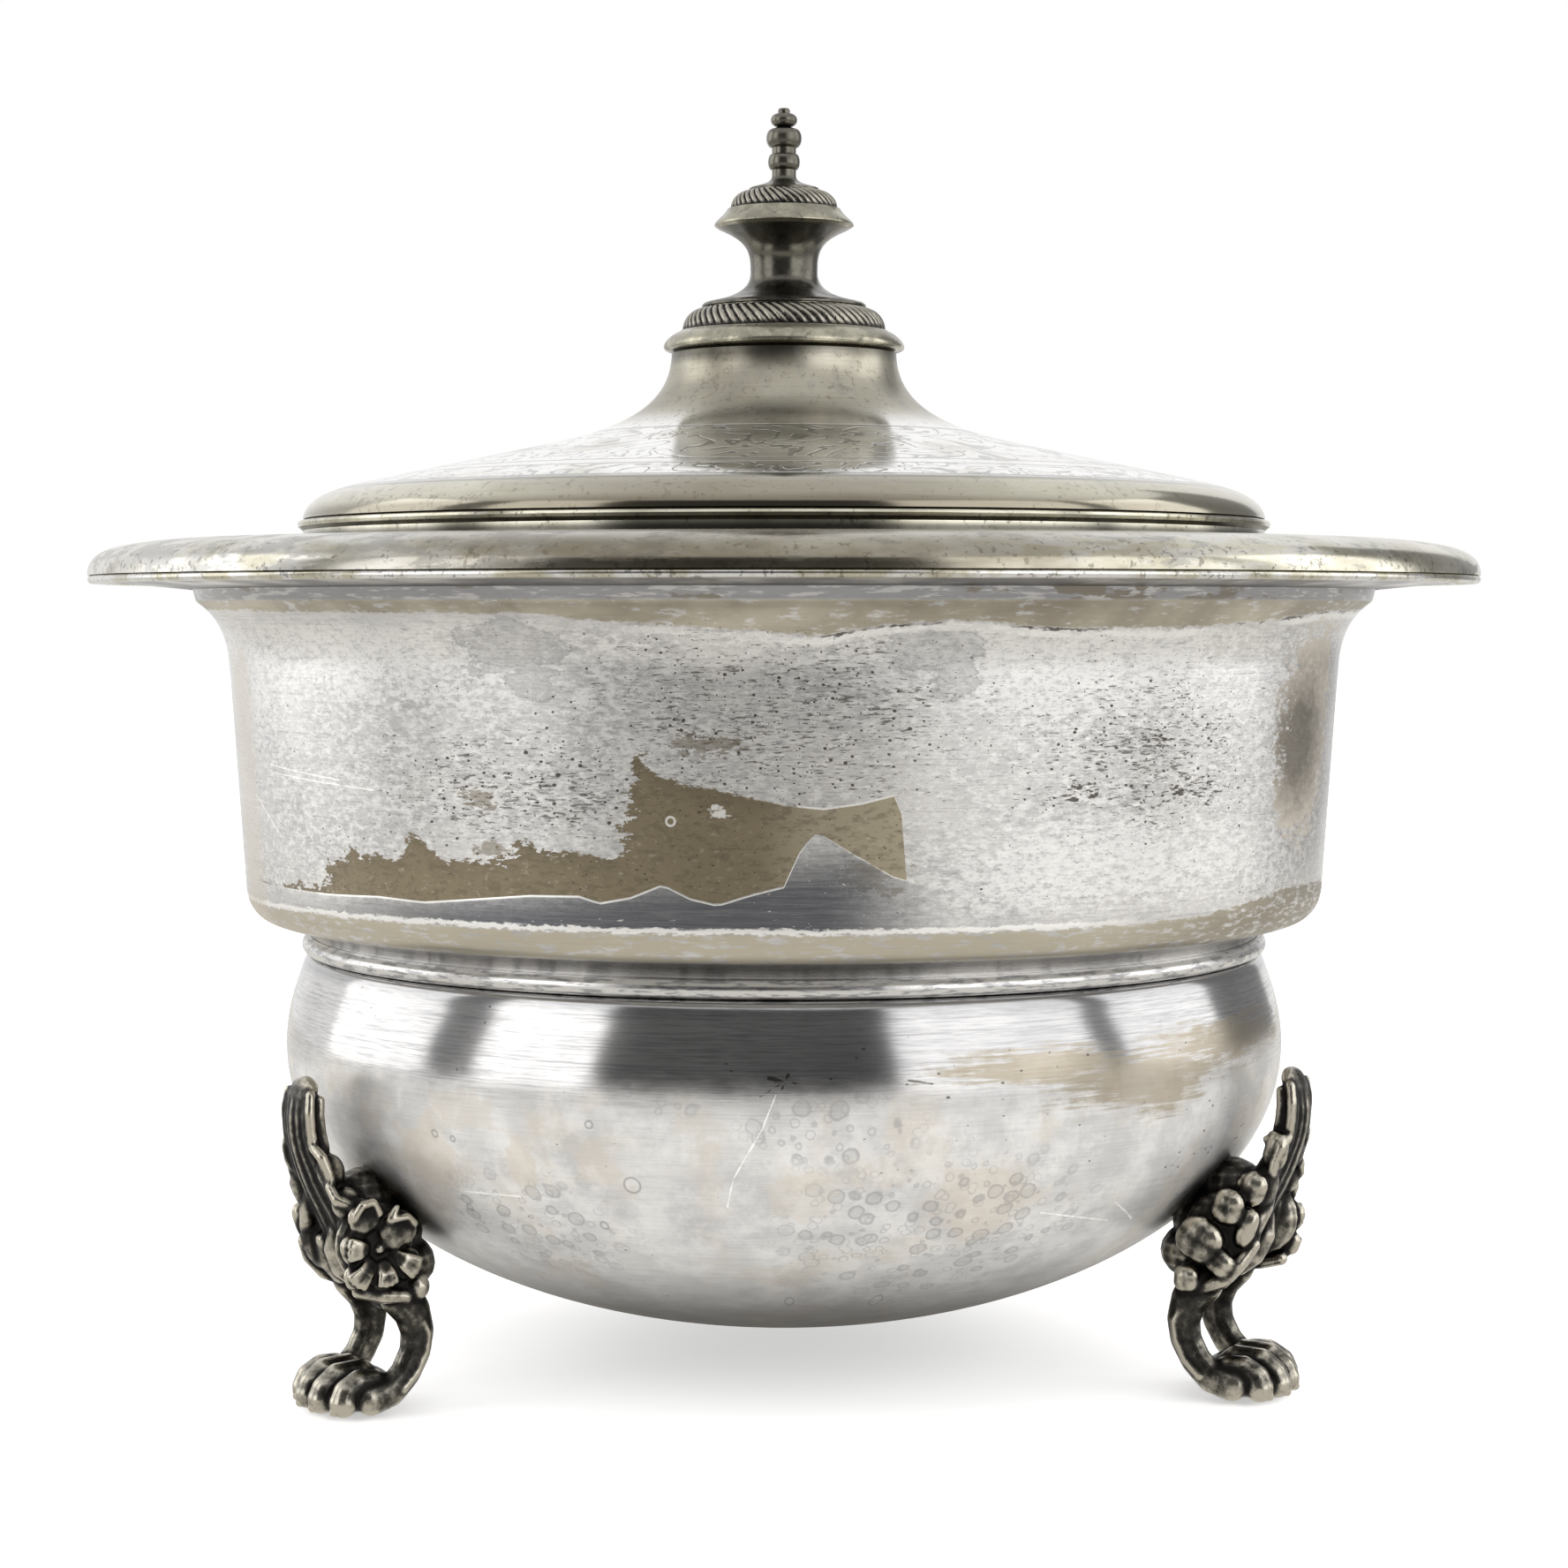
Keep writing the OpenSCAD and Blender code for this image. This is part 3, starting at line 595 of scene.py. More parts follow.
def bulb_finish():
    f = Finish("worn_plate_bowl", "silver")
    lines = hairlines(f, 0.9, 13.0)
    ragged = f.noise(2.4, 4, 0.62, (1, 1, 1.6), 2.0) - 0.5
    cloud = f.noise(11, 4, 0.55, shift=6.0)
    painted_low_shade = f.ramp(f.z + ragged * 3, 20, 8)
    # Above the widest part the plate is still bright; below it a pale film has dried on
    hazy = f.ramp(f.z + ragged * 2.5, 38.5, 33.0)
    f.lay(f.ramp(cloud, 0.35, 0.7) * 0.8, "dull_silver")
    f.lay(f.ramp(lines, 0.40, 0.70) * 0.7 * (1 - 0.7 * hazy), "slate")
    warm = f.ramp(f.noise(9, 3, 0.6, shift=12.0) + 0.2
                  * f.clip(f.patch((-42, 28, 5, 4.5), (-28.5, 28, 2, 3), (22, 24, 8, 6),
                                   (-46, 22, 4, 4))),
                  0.52, 0.62)
    f.lay(hazy * warm * 0.5, "beige")
    f.lay(hazy * f.ramp(f.noise(5, 5, 0.7, shift=19.0), 0.42, 0.66) * 0.34, "film")
    veil = f.band(f.angle, 8, 66, 8) * (1 - hazy)
    f.lay(veil * 0.4, "slate")
    beige = f.patch((-42, 28, 4.8, 3.6), (-28.5, 28, 1.8, 3.4), (21, 25, 6.5, 4.5), (-35, 33.5, 5, 2.2),
                    (2, 26, 4, 3))
    f.lay(hazy * f.ramp(beige + ragged * 1.6, 0.05, 0.2) * 0.4, "beige")
    # Outlines of dried drops, thickest low on the right
    dropped = f.clip(f.patch((18, 22, 24, 11), (5, 33, 12, 5), (-30, 22, 16, 7), (-12, 36, 6, 2.5))
                     * 2.2)
    line, inside = drops(f, 2.6, 2.0)
    small_line = drops(f, 1.5, 31.0)[0]
    f.lay(hazy * dropped * inside * 0.20, "slate")
    f.lay(hazy * dropped * f.most(line, small_line * 0.8) * 0.42, "slate")
    bowl_r = 52
    rings = f.most(*[f.ring(angle, height, bowl_r, size) for angle, height, size in (
        (-39.5, 30.6, 0.36), (-37, 30.3, 0.28), (-20, 33, 0.36), (-38.5, 22.7, 0.34), (-20.5, 22.3, 0.4),
        (-16, 27, 0.8), (0.8, 13.0, 0.6), (14, 12.8, 0.8))])
    f.lay(rings * 0.6, "slate")
    # The rubbed patch high on the right
    rub = f.patch((28, 38.2, 16, 2.4), (40, 36.3, 16, 3.6), (44, 34.2, 8, 2.6),
                  (58, 38.5, 20, 3.0)) + ragged * 0.9
    streaky = f.noise(4, 3, 0.6, (0.6, 0.6, 9), 23.0) - 0.5
    rubbed = f.ramp(rub + streaky * 1.8, 0.0, 0.6)
    f.lay(rubbed * 0.8, f.tint(f.ramp(cloud, 0.4, 0.7) * 0.4, "brass", "beige"))
    # A small star-shaped crack and a long thin scratch under it
    crack = f.most(f.scratch((-1.5, 37.9), (1.1, 37.5), 55, 0.20, 1.0),
                   f.scratch((0.4, 38.2), (-0.2, 37.0), 55, 0.18, 1.0),
                   f.scratch((-2.4, 36.2), (-0.2, 37.5), 55, 0.10, 0.6),
                   f.scratch((12.5, 37.6), (15.0, 37.2), 55, 0.12))
    f.lay(crack * 0.8, "pit")
    pale = f.most(f.scratch((-0.8, 36.4), (-2.2, 33.0), 54, 0.10),
                  f.scratch((-2.2, 33.0), (-5.2, 28.0), 52, 0.10),
                  f.scratch((-5.2, 28.0), (-6.0, 25.0), 50, 0.10),
                  f.scratch((30, 23.0), (42, 20.8), 46, 0.10),
                  f.scratch((41, 23.0), (47, 20.4), 46, 0.10),
                  f.scratch((-38, 24.6), (-30, 24.8), 46, 0.12))
    f.lay(pale * 0.85, "film")
    pitted = pits(f, 1.6, f.clip(f.patch((55, 28, 14, 9), (30, 36, 30, 7)) * 1.4) - 0.25, 5.0)
    f.lay(pitted * 0.8, "pit")
    # Painted shadow and reflection of the feet on the bowl round them, and a darker neck
    painted_foot_shade = f.most(*[f.ramp(f.vector("DISTANCE", f.place, foot, out=1) + (cloud - 0.5) * 8, 9.0, 4.0)
                     for foot in foot_places(51, 20)])
    f.lay(painted_foot_shade * 0.6, "recess")
    neck = f.ramp(f.z + ragged * 1.2, 43.2, 44.6)
    f.lay(neck * 0.5, "slate")
    # Painted shade, darker towards the bottom of the bowl
    f.lay(painted_low_shade * 0.62, "slate")
    rough = 0.14 + 0.26 * hazy + 0.1 * rubbed
    return plate_skin(f, rough, lines, height=0.004,
                      metal=1 - 0.36 * hazy * (1 - painted_foot_shade) * (1 - painted_low_shade))


def foot_places(radius, height):
    """Where the three feet meet the bowl, turned as the finish's place is."""
    turns = [math.radians(turn) + BACK_TO_FRONT for turn in FOOT_TURNS.values()]
    return [(radius * math.cos(turn), radius * math.sin(turn), height) for turn in turns]


def neck_ring_finish():
    f = Finish("worn_plate_neck", "silver")
    lines = hairlines(f, 1.0, 23.0)
    streaks = f.ramp(f.noise(2.6, 3, 0.65, (1, 1, 6), 4.0), 0.48, 0.62)
    f.lay(streaks * 0.75, "slate")
    return plate_skin(f, 0.26, lines)


def speckle_over(f, amount, size, shift=0.0):
    """Dark tarnish spots gathered in clouds."""
    cloud = f.noise(7, 4, 0.65, shift=shift + 2)
    spots = f.ramp(f.noise(size, 3, 0.65, shift=shift) + 0.35 * (cloud - 0.5), 0.58, 0.66)
    f.lay(spots * amount, "pit")


def rim_finish():
    f = Finish("tarnished_rim", "tarnish")
    lines = hairlines(f, 0.8, 33.0)
    cloud = f.noise(10, 4, 0.6, (1, 1, 3), 3.0)
    left = f.clip(f.spot(-42, 88.5, 42, 5) * 2.2)
    f.lay(f.ramp(cloud, 0.35, 0.65), "olive")
    # Painted highlight on the left of the rim, laid as silver over the olive
    f.lay(left * f.ramp(cloud, 0.66, 0.46) * 0.6, "silver")
    # Painted highlight on the right of the rim, laid as silver streaks
    right_highlight = f.clip(f.spot(30, 89.5, 26, 3) * 2)
    f.lay(right_highlight * f.ramp(f.noise(4, 3, 0.6, (1, 1, 5), 9.0), 0.46, 0.6) * 0.6, "silver")
    speckle_over(f, 0.55, 0.8, 5.0)
    grey = f.ramp(f.noise(5, 4, 0.65, (1, 1, 4), 15.0) + 0.1 * left, 0.56, 0.66)
    f.lay(grey * 0.4, "slate")
    # Painted dark reflection across the front of the rim
    centre = f.ramp(f.magnitude(f.angle + 3), 42, 8)
    f.lay(centre * (0.45 + cloud * 0.5), "dark_brass")
    # Painted shade on the seat, under the lid's edge
    f.lay(f.ramp(f.out, 58.6, 57.6) * 0.8, "recess")
    return plate_skin(f, 0.20 + 0.12 * grey, lines, height=0.004)


def underside_finish():
    f = Finish("tarnished_underside", "slate")
    lines = hairlines(f, 0.8, 43.0)
    cloud = f.noise(8, 4, 0.6, shift=3.0)
    f.lay(f.ramp(cloud, 0.4, 0.65), "silver")
    # Painted shade, darker towards the wall under the rim
    f.lay(f.ramp(f.out, 70.5, 67.0) * 0.85, "recess")
    return plate_skin(f, 0.34, lines)


def wire_finish():
    f = Finish("plated_wire", "silver")
    cloud = f.noise(4, 4, 0.6, shift=3.0)
    f.lay(f.ramp(cloud, 0.4, 0.62), "olive")
    speckle_over(f, 0.5, 0.7)
    return plate_skin(f, 0.24, hairlines(f, 1.0, 2.0))


def lid_finish():
    f = Finish("tarnished_lid", "tarnish")
    lines = hairlines(f, 0.9, 53.0)
    cloud = f.noise(12, 4, 0.6, shift=3.0)
    roll = f.ramp(f.out, 49.8, 50.8)
    neck = f.ramp(f.z, 102.6, 106.0)
    f.lay(f.ramp(cloud, 0.35, 0.7) * 0.6, "olive")
    f.lay(f.ramp(lines, 0.5, 0.7) * 0.3, "slate")
    f.lay((1 - roll) * (1 - neck) * f.ramp(cloud, 0.75, 0.5), "film")
    # Two chased bands of scrolls round the cone, with a plain band between them
    swirl = f.noise(9, 2, 0.5, shift=7.0, warp=0.9)
    scroll = f.ramp(f.magnitude(f.maths("FRACT", swirl * 8) - 0.5), 0.13, 0.05)
    small = f.noise(5, 1, 0.5, shift=17.0, warp=0.6)
    leafy = f.ramp(f.magnitude(f.maths("FRACT", small * 7) - 0.5), 0.15, 0.05)
    rules = f.most(*[f.band(f.out, r - 0.2, r + 0.2, 0.1) for r in (22.0, 41.3, 43.8, 49.6)])
    chased = f.most(scroll * f.band(f.out, 22.5, 41.0, 0.15), leafy * f.band(f.out, 44.2, 49.2, 0.12),
                    rules)
    f.lay(chased * 0.7, "slate")
    speckle_over(f, 0.35, 0.8, 25.0)
    f.lay(f.band(f.out, 50.0, 50.9, 0.25) * 0.5, "recess")
    # Painted dark reflection on the rolled edge, across its front and along its lower part, and painted
    # shade on its right side
    centre = f.ramp(f.magnitude(f.angle + 3), 38, 8) * roll
    f.lay(centre * 0.6, "dark_brass")
    f.lay(roll * f.ramp(f.z + (cloud - 0.5), 94.8, 93.6) * 0.7, "dark_brass")
    f.lay(roll * f.band(f.angle, 42, 120, 17) * 0.4, "olive")
    f.lay(neck * (0.35 + 0.3 * cloud), "dark_brass")
    streak = f.noise(3.5, 4, 0.65, (1.6, 1.6, 0.5), 35.0)
    f.lay(neck * f.ramp(streak, 0.50, 0.70) * 0.3, "slate")
    # Painted shade at the top of the neck, under the finial's base
    f.lay(f.ramp(f.z + (cloud - 0.5) * 3, 110.2, 112.0) * 0.7, "recess")
    grit = f.ramp(f.noise(0.9, 3, 0.7, (1, 1, 1.6), 71.0), 0.66, 0.72) * neck
    f.lay(grit * 0.5, "pit")
    rough = 0.15 + 0.17 * neck + 0.05 * (lines - 0.5)
    normal = f.bump(1 - chased, 0.05, over=f.bump(lines, 0.003))
    return f.finish(rough, normal)


def lid_edge_finish():
    f = Finish("tarnished_lid_edge", "tarnish")
    cloud = f.noise(6, 4, 0.6, shift=3.0)
    f.lay(f.ramp(cloud, 0.35, 0.7), "olive")
    # Painted shade on the lower part of the ring, under its lip
    f.lay(f.ramp(f.z, 92.0, 91.2) * 0.8, "recess")
    speckle_over(f, 0.5, 0.7)
    return plate_skin(f, 0.2, hairlines(f, 1.0, 63.0))


def pewter_finish(name, worn):
    """Dark plate on a turned finial piece, rubbed bright where worn is high."""
    f = Finish("pewter_" + name, "pewter")
    cloud = f.noise(3.5, 5, 0.65, shift=len(name))
    f.lay((0.6 + 0.4 * f.ramp(cloud, 0.56, 0.40)) * worn, "olive")
    f.lay(f.ramp(f.noise(1.1, 4, 0.7, shift=9.0), 0.55, 0.68) * 0.4, "recess")
    rough = f.clip(0.22 + 0.16 * f.ramp(cloud, 0.4, 0.65))
    return f.finish(rough, f.bump(f.noise(0.7, 3, 0.6, shift=5.0), 0.02))


def cast_finish(name, worn):
    """Oxide left in the hollows of a casting, with painted shade deepening its large hollows, and the high
    points rubbed bright.
    """
    f = Finish("cast_" + name, "recess")
    relief = f.node("Attribute", {"attribute_name": "relief"}, out="Fac")
    hollow = f.node("Attribute", {"attribute_name": "hollow"}, out="Fac")
    grain = f.noise(0.8, 4, 0.65, shift=3.0) - 0.5
    cloud = f.noise(5, 3, 0.6, shift=8.0) - 0.5
    # The hollow mark adds painted shade in the large hollows; relief gives oxide in the small ones and
    # brightens the high points
    level = relief + 0.6 * hollow + 0.8 * grain + 0.6 * cloud
    f.lay(f.ramp(level, -0.10, 0.55) * 0.8, "pewter")
    f.lay(f.ramp(level, 0.28, 0.85) * worn, "worn_cast")
    rough = f.mix(f.ramp(level, -0.3, 0.6), 0.5, 0.24)
    return f.finish(rough, f.bump(f.noise(0.5, 3, 0.6, shift=5.0), 0.03))


def plain_finish(name, colour, rough):
    f = Finish(name, colour)
    cloud = f.noise(5, 4, 0.6, shift=3.0)
    f.lay(f.ramp(cloud, 0.4, 0.7) * 0.5, "olive")
    return plate_skin(f, rough, hairlines(f, 0.7, 2.0))


class SUGARBOWL_OT_lower_bowl(bpy.types.Operator):
    """Spins the lower bowl and the ring round its neck"""
    bl_idname = "sugar_bowl.lower_bowl"
    bl_label = "Lower Bowl"

    def execute(self, context):
        at = levels()
        steps = fineness().steps
        wall = mm("wall")
        inside = at["neck_r"] - wall - 0.05
        outline = bulb_outline(44) + [(inside, at["shoulder"]), (inside, at["neck_top"] + 0.4)]
        bowl = turned("plated_lower_bowl", sheet(outline, wall), steps)
        stands_for(bowl, "bowl", "lower_bowl", bulb_finish())
        half = (high("neck_ring").z - low("neck_ring").z) / 2
        inner = at["neck_r"] + 0.05
        ring = turned("plated_neck_ring", arc((inner, low("neck_ring").z + half),
                                              (mm("ring_out"), half), -90, 90, 12), steps)
        stands_for(ring, "bowl", "neck_ring", neck_ring_finish())
        return {"FINISHED"}


class SUGARBOWL_OT_upper_wall(bpy.types.Operator):
    """Spins the straight upper wall with its bottom corner and the collar at its top"""
    bl_idname = "sugar_bowl.upper_wall"
    bl_label = "Upper Wall"

    def execute(self, context):
        at = levels()
        wall, drum_r = mm("wall"), mm("drum_r")
        corner_w, corner_h = mm("corner_w"), mm("corner_h")
        top_r = drum_r + mm("drum_flare")
        collar_r = high("upper_wall").x
        lip_r = collar_r - mm("collar_taper")
        cove = mm("collar_cove")
        outline = (
            [(at["neck_r"], at["foot"])]
            + curve((at["neck_r"], at["neck_top"]),
                    (at["neck_r"] + 0.15, at["neck_top"] + 0.5 * mm("step_h")),
                    (drum_r - corner_w - 2.2, at["corner"] - 0.3), (drum_r - corner_w, at["corner"]), 10)
            + arc((drum_r - corner_w, at["drum"]), (corner_w, corner_h), -90, 0, 14)
            + curve((top_r, at["drum_top"]), (top_r + 0.2, at["drum_top"] + 0.5 * cove),
                    (top_r + 1.5, at["drum_top"] + 0.8 * cove), (lip_r - 0.3, at["collar"] - 0.1), 14)
            + [(lip_r, at["collar"] + 0.2), (collar_r, at["edge"]), (collar_r, at["rim"] - wall)])
        piece = turned("plated_upper_wall", sheet(outline, wall), fineness().steps)
        stands_for(piece, "bowl", "upper_wall", drum_finish())
        return {"FINISHED"}


class SUGARBOWL_OT_rim(bpy.types.Operator):
    """Spins the domed rim, the plate under it and the wire on its edge"""
    bl_idname = "sugar_bowl.rim"
    bl_label = "Rim"

    def execute(self, context):
        at = levels()
        steps = fineness().steps
        wall, wire = mm("wall"), mm("edge_wire_r")
        rim_r, collar_r = high("rim_top").x, high("upper_wall").x
        edge, top = at["edge"], at["rim"]
        rise, round_w = top - edge, mm("rim_round")
        seat_r = high("mouth_ring").x + 0.05
        seat_z = high("mouth_ring").z
        seat_out = seat_r + mm("seat_w")
        outline = (
            [(rim_r, edge)]
            + curve((rim_r, edge + 0.3), (rim_r - 0.2, edge + 0.6 * rise),
                    (rim_r - 0.23 * round_w, top - 0.45), (rim_r - round_w, top), 18)
            + [(collar_r - 1.5, top)]
            + curve((seat_out + 2.4, top), (seat_out + 1.2, top), (seat_out + 1, seat_z),
                    (seat_out, seat_z), 8)
            + [(seat_r, seat_z)])
        piece = turned("plated_rim", sheet(outline, wall), steps)
        stands_for(piece, "bowl", "rim_top", rim_finish())
        plate_z = low("rim_underplate").z
        in_r, out_r = collar_r + 0.05, high("rim_underplate").x
        plate = turned("plated_rim_underside", [
            (in_r, plate_z), (in_r + 0.6, plate_z + 0.05), (out_r, edge - 0.7 * wall),
            (out_r, edge - 0.05), (in_r, plate_z + wall)], steps)
        stands_for(plate, "bowl", "rim_underplate", underside_finish())
        ring = turned("plated_edge_wire", arc((rim_r - wire, edge - wire), (wire, wire), 0, 337.5, 15),
                      steps)
        stands_for(ring, "bowl", "rim_edge_wire", wire_finish())
        return {"FINISHED"}


class SUGARBOWL_OT_lid(bpy.types.Operator):
    """Spins the domed lid and the lipped ring at its edge"""
    bl_idname = "sugar_bowl.lid"
    bl_label = "Lid"

    def execute(self, context):
        steps = fineness().steps
        wall, lip = mm("wall"), mm("lip_out")
        lid_r = high("lid_edge_ring").x - lip
        lid_z, dome_z, top_z = low("lid_edge_ring").z, high("lid_edge_ring").z, high("lid_dome").z
        roll_w, roll_h = mm("roll_w"), mm("roll_h")
        cone_z = dome_z + roll_h
        sweep_z, sweep_r = cone_z + mm("cone_h"), mm("sweep_r")
        neck_r, neck_h = mm("lid_neck_r"), top_z - sweep_z
        bore = mm("bore_r")
        outline = (
            [(lid_r, dome_z)]
            + curve((lid_r, dome_z + 0.3), (lid_r - 0.6, dome_z + 0.6 * roll_h),
                    (lid_r - 0.44 * roll_w, cone_z - 0.95), (lid_r - roll_w, cone_z), 18)
            + curve((sweep_r, sweep_z), (neck_r + 2.3, sweep_z + 0.23 * neck_h),
                    (neck_r + 0.2, sweep_z + 0.6 * neck_h), (neck_r, top_z - 0.3), 26)
            + [(neck_r - 0.3, top_z), (bore, top_z)])
        dome = turned("plated_lid", sheet(outline, wall), steps)
        stands_for(dome, "lid", "lid_dome", lid_finish())
        in_r = lid_r - mm("lid_edge_w")
        ring = turned("plated_lid_edge", [
            (in_r, lid_z), (lid_r - 0.2, lid_z), (lid_r, lid_z + 0.2), (lid_r, dome_z - 1.3),
            (lid_r + lip - 0.1, dome_z - 0.9), (lid_r + lip, dome_z - 0.55),
                                          (lid_r + lip - 0.1, dome_z - 0.3),
            (lid_r + lip - 0.3, dome_z - 0.22), (lid_r - 0.4, dome_z), (in_r, dome_z)], steps)
        stands_for(ring, "lid", "lid_edge_ring", lid_edge_finish())
        return {"FINISHED"}


class SUGARBOWL_OT_finial(bpy.types.Operator):
    """Spins the base, spool, disc and spire of the finial"""
    bl_idname = "sugar_bowl.finial"
    bl_label = "Finial"

    def execute(self, context):
        steps = fineness().small_steps
        bore = mm("bore_r")
        base_r, disc_r = mm("base_r"), mm("disc_r")
        top_z, rope_z, spool_z = high("lid_dome").z, low("finial_base_rope").z, low("finial_spool").z
        shoulder = high("finial_base_rope").x - mm("base_rope_w") - 0.05
        base = turned("finial_base_turned", (
            [(bore, top_z)]
            + curve((base_r - 1, top_z), (base_r + 1, top_z - 0.1), (base_r - 0.3, top_z + 1.6),
                    (base_r - 1.7, rope_z - 0.2), 16)
            + [(base_r - 1.8, rope_z - 0.1), (base_r - 2, rope_z - 0.05), (shoulder, rope_z - 0.05),
               (shoulder, spool_z), (bore, spool_z)]), steps)
        stands_for(base, "lid", "finial_base", pewter_finish("base_ring", 0.9))
        disc_z, waist_r = high("finial_spool").z, mm("waist_r")
        foot_r = shoulder + 0.25
        waist_z = spool_z + 0.45 * (disc_z - spool_z)
        spool = turned("finial_spool_turned", (
            [(bore, spool_z), (foot_r - 0.1, spool_z), (foot_r, spool_z + 0.1), (foot_r, spool_z + 0.3)]
            + curve((foot_r - 0.3, spool_z + 0.55), (waist_r + 2.2, spool_z + 1.2),
                    (waist_r, spool_z + 1.9),
                    (waist_r, waist_z), 20)
            + curve((waist_r, waist_z + 0.6), (waist_r, disc_z - 1.9), (waist_r + 1.2, disc_z - 1.05),
                    (disc_r - 0.5, disc_z), 20)
            + [(bore, disc_z)]), steps)
        stands_for(spool, "lid", "finial_spool", pewter_finish("spool", 0.12))
        cap_z, spire_z = low("finial_disc_rope").z, high("finial_disc_rope").z + 0.05
        neck = high("finial_disc_rope").x - mm("disc_rope_w")
        peg = mm("peg_r") + 0.05
        disc = turned("finial_disc_turned", (
            [(bore, disc_z), (disc_r - 0.5, disc_z)]
            + curve((disc_r, disc_z + 0.35), (disc_r, disc_z + 0.8), (disc_r - 1.1, disc_z + 1.4),
                    (disc_r - 1.5, cap_z - 0.1), 14)
            + [(neck + mm("disc_rope_w") + 0.1, cap_z - 0.05), (neck - 0.05, cap_z - 0.05),
               (neck - 0.05, spire_z), (peg, spire_z), (peg, spire_z - 1.5), (bore, spire_z - 1.5)]), steps)
        stands_for(disc, "lid", "finial_disc", pewter_finish("disc", 0.8))
        tip_z, bead_r = high("finial_spire").z, mm("spire_bead_r")
        beads_z = spire_z + 1.7
        beads_h = tip_z - beads_z
        stem = 0.68 * bead_r
        spire = turned("finial_spire_turned", (
            [(0, spire_z - 1.4), (peg - 0.05, spire_z - 1.4), (peg - 0.05, spire_z), (neck, spire_z),
             (neck, spire_z + 0.2)]
            + curve((neck - 0.2, spire_z + 0.3), (2.4, spire_z + 0.7), (stem, spire_z + 0.9),
                    (stem, beads_z), 12)
            + arc((stem, beads_z + 0.2 * beads_h), (0.9 * bead_r - stem, 0.12 * beads_h), -90, 90, 14)
            + arc((stem, beads_z + 0.55 * beads_h), (bead_r - stem, 0.14 * beads_h), -90, 90, 14)
            + arc((0.5 * stem, beads_z + 0.82 * beads_h), (0.75 * bead_r - 0.5 * stem, 0.1 * beads_h),
                  -90, 90, 14)
            + [(0.5 * stem, tip_z - 0.25), (0.4 * stem, tip_z - 0.06), (0.2 * stem, tip_z),
               (0, tip_z)]), steps)
        stands_for(spire, "lid", "finial_spire", pewter_finish("spire", 0.2))
        return {"FINISHED"}


class SUGARBOWL_OT_rope_bands(bpy.types.Operator):
    """Spins the two rope bands of the finial and cuts their slanting strands"""
    bl_idname = "sugar_bowl.rope_bands"
    bl_label = "Rope Bands"

    def execute(self, context):
        for node, width, strands, depth in (("finial_base_rope", mm("base_rope_w"), 64, 0.42),
                                            ("finial_disc_rope", mm("disc_rope_w"), 42, 0.36)):
            bottom, top = low(node).z, high(node).z
            inner = high(node).x - width
            outline = ([(inner, bottom), (inner + 0.5 * width, bottom)]
                       + arc((inner, bottom), (width, top - bottom), 0, 90, 14))
            band = turned(node + "_cut", outline, strands * 12, crease=60)
            co = points_of(band)
            angle = np.arctan2(co[:, 1], co[:, 0])
            out = np.hypot(co[:, 0], co[:, 1]) - inner
            up = (co[:, 2] - bottom) / (top - bottom)
            along = np.arctan2(up, out / width) / (0.5 * np.pi)
            strand = (strands * (angle / (2 * np.pi) + 0.045 * along * 64 / strands)) % 1.0
            crown = np.sqrt(np.clip(1 - (2 * strand - 1) ** 2, 0, 1))
            skin = np.clip((np.hypot(out / width, up) - 0.8) / 0.2, 0, 1)
            edge = np.clip(along / 0.12, 0.2, 1) * np.clip((1 - along) / 0.12, 0.2, 1)
            cut = depth * skin * (1 - crown) * edge
            shrink = 1 - cut / np.maximum(np.hypot(out, co[:, 2] - bottom), 0.3)
            radius = inner + out * shrink
            co[:, 0], co[:, 1] = radius * np.cos(angle), radius * np.sin(angle)
            co[:, 2] = bottom + (co[:, 2] - bottom) * shrink
            place_points(band, co)
            mark(band, "relief", skin * (2 * crown - 1) * edge)
            stands_for(band, "lid", node, cast_finish("rope_" + node, 0.5))
        return {"FINISHED"}


# The cast feet, in the foot's own frame in millimetres: outward, across, up

def lump(at, radii, turn=(0, 0, 0)):
    """Adds an egg to the casting being built."""
    bpy.ops.mesh.primitive_uv_sphere_add(
        segments=16, ring_count=10, radius=MM, location=Vector(at) * MM,
        rotation=[math.radians(t) for t in turn], scale=radii)


def limb(path, radii, flat=1.0):
    """Adds a rounded rod along the path; flat narrows it across."""
    for here, r in zip(path, radii):
        lump(here, (r, r * flat, r))
    for a, b, ra, rb in zip(path, path[1:], radii, radii[1:]):
        a, b = Vector(a), Vector(b)
        along = b - a
        turn = along.to_track_quat("Z", "Y").to_euler()
        if abs(along.y) < 0.01:
            turn = (0, math.atan2(along.x, along.z), 0)
        bpy.ops.mesh.primitive_cone_add(
            vertices=16, radius1=ra * MM, radius2=rb * MM, depth=along.length * MM,
            location=(a + b) / 2 * MM, rotation=turn, scale=(1, flat, 1))


def petal(at, radii, turn):
    """A petal with a flattish, squarish face, from four eggs."""
    wide, deep, tall = radii
    lean = Matrix.Rotation(math.radians(turn), 3, "Y")
    for right, up in ((-0.21, -0.20), (0.22, -0.18), (-0.18, 0.22), (0.20, 0.20)):
        shift = lean @ Vector((right * wide, 0, up * tall))
        lump(Vector(at) + shift, (0.80 * wide, deep, 0.80 * tall), (0, turn, 0))


def leaf_front(z):
    """How far out the face of the leaf is at a height."""
    heights = (11.0, 13.4, 15.5, 18.0, 21.0, 24.0, 27.0, 29.0, 31.5, 33.4, 34.2)
    reach = (51.3, 53.2, 54.8, 56.1, 57.6, 59.2, 60.4, 60.9, 61.1, 60.9, 60.3)
    return float(np.interp(z, heights, reach))


def leaf_half(z):
    """Half the width of the leaf at a height."""
    heights = (11.0, 13.4, 16.0, 19.0, 22.0, 24.5, 26.5, 28.0, 33.0, 34.2)
    halves = (4.4, 5.6, 6.2, 6.0, 5.2, 4.3, 3.9, 3.0, 2.9, 2.2)
    return float(np.interp(z, heights, halves))


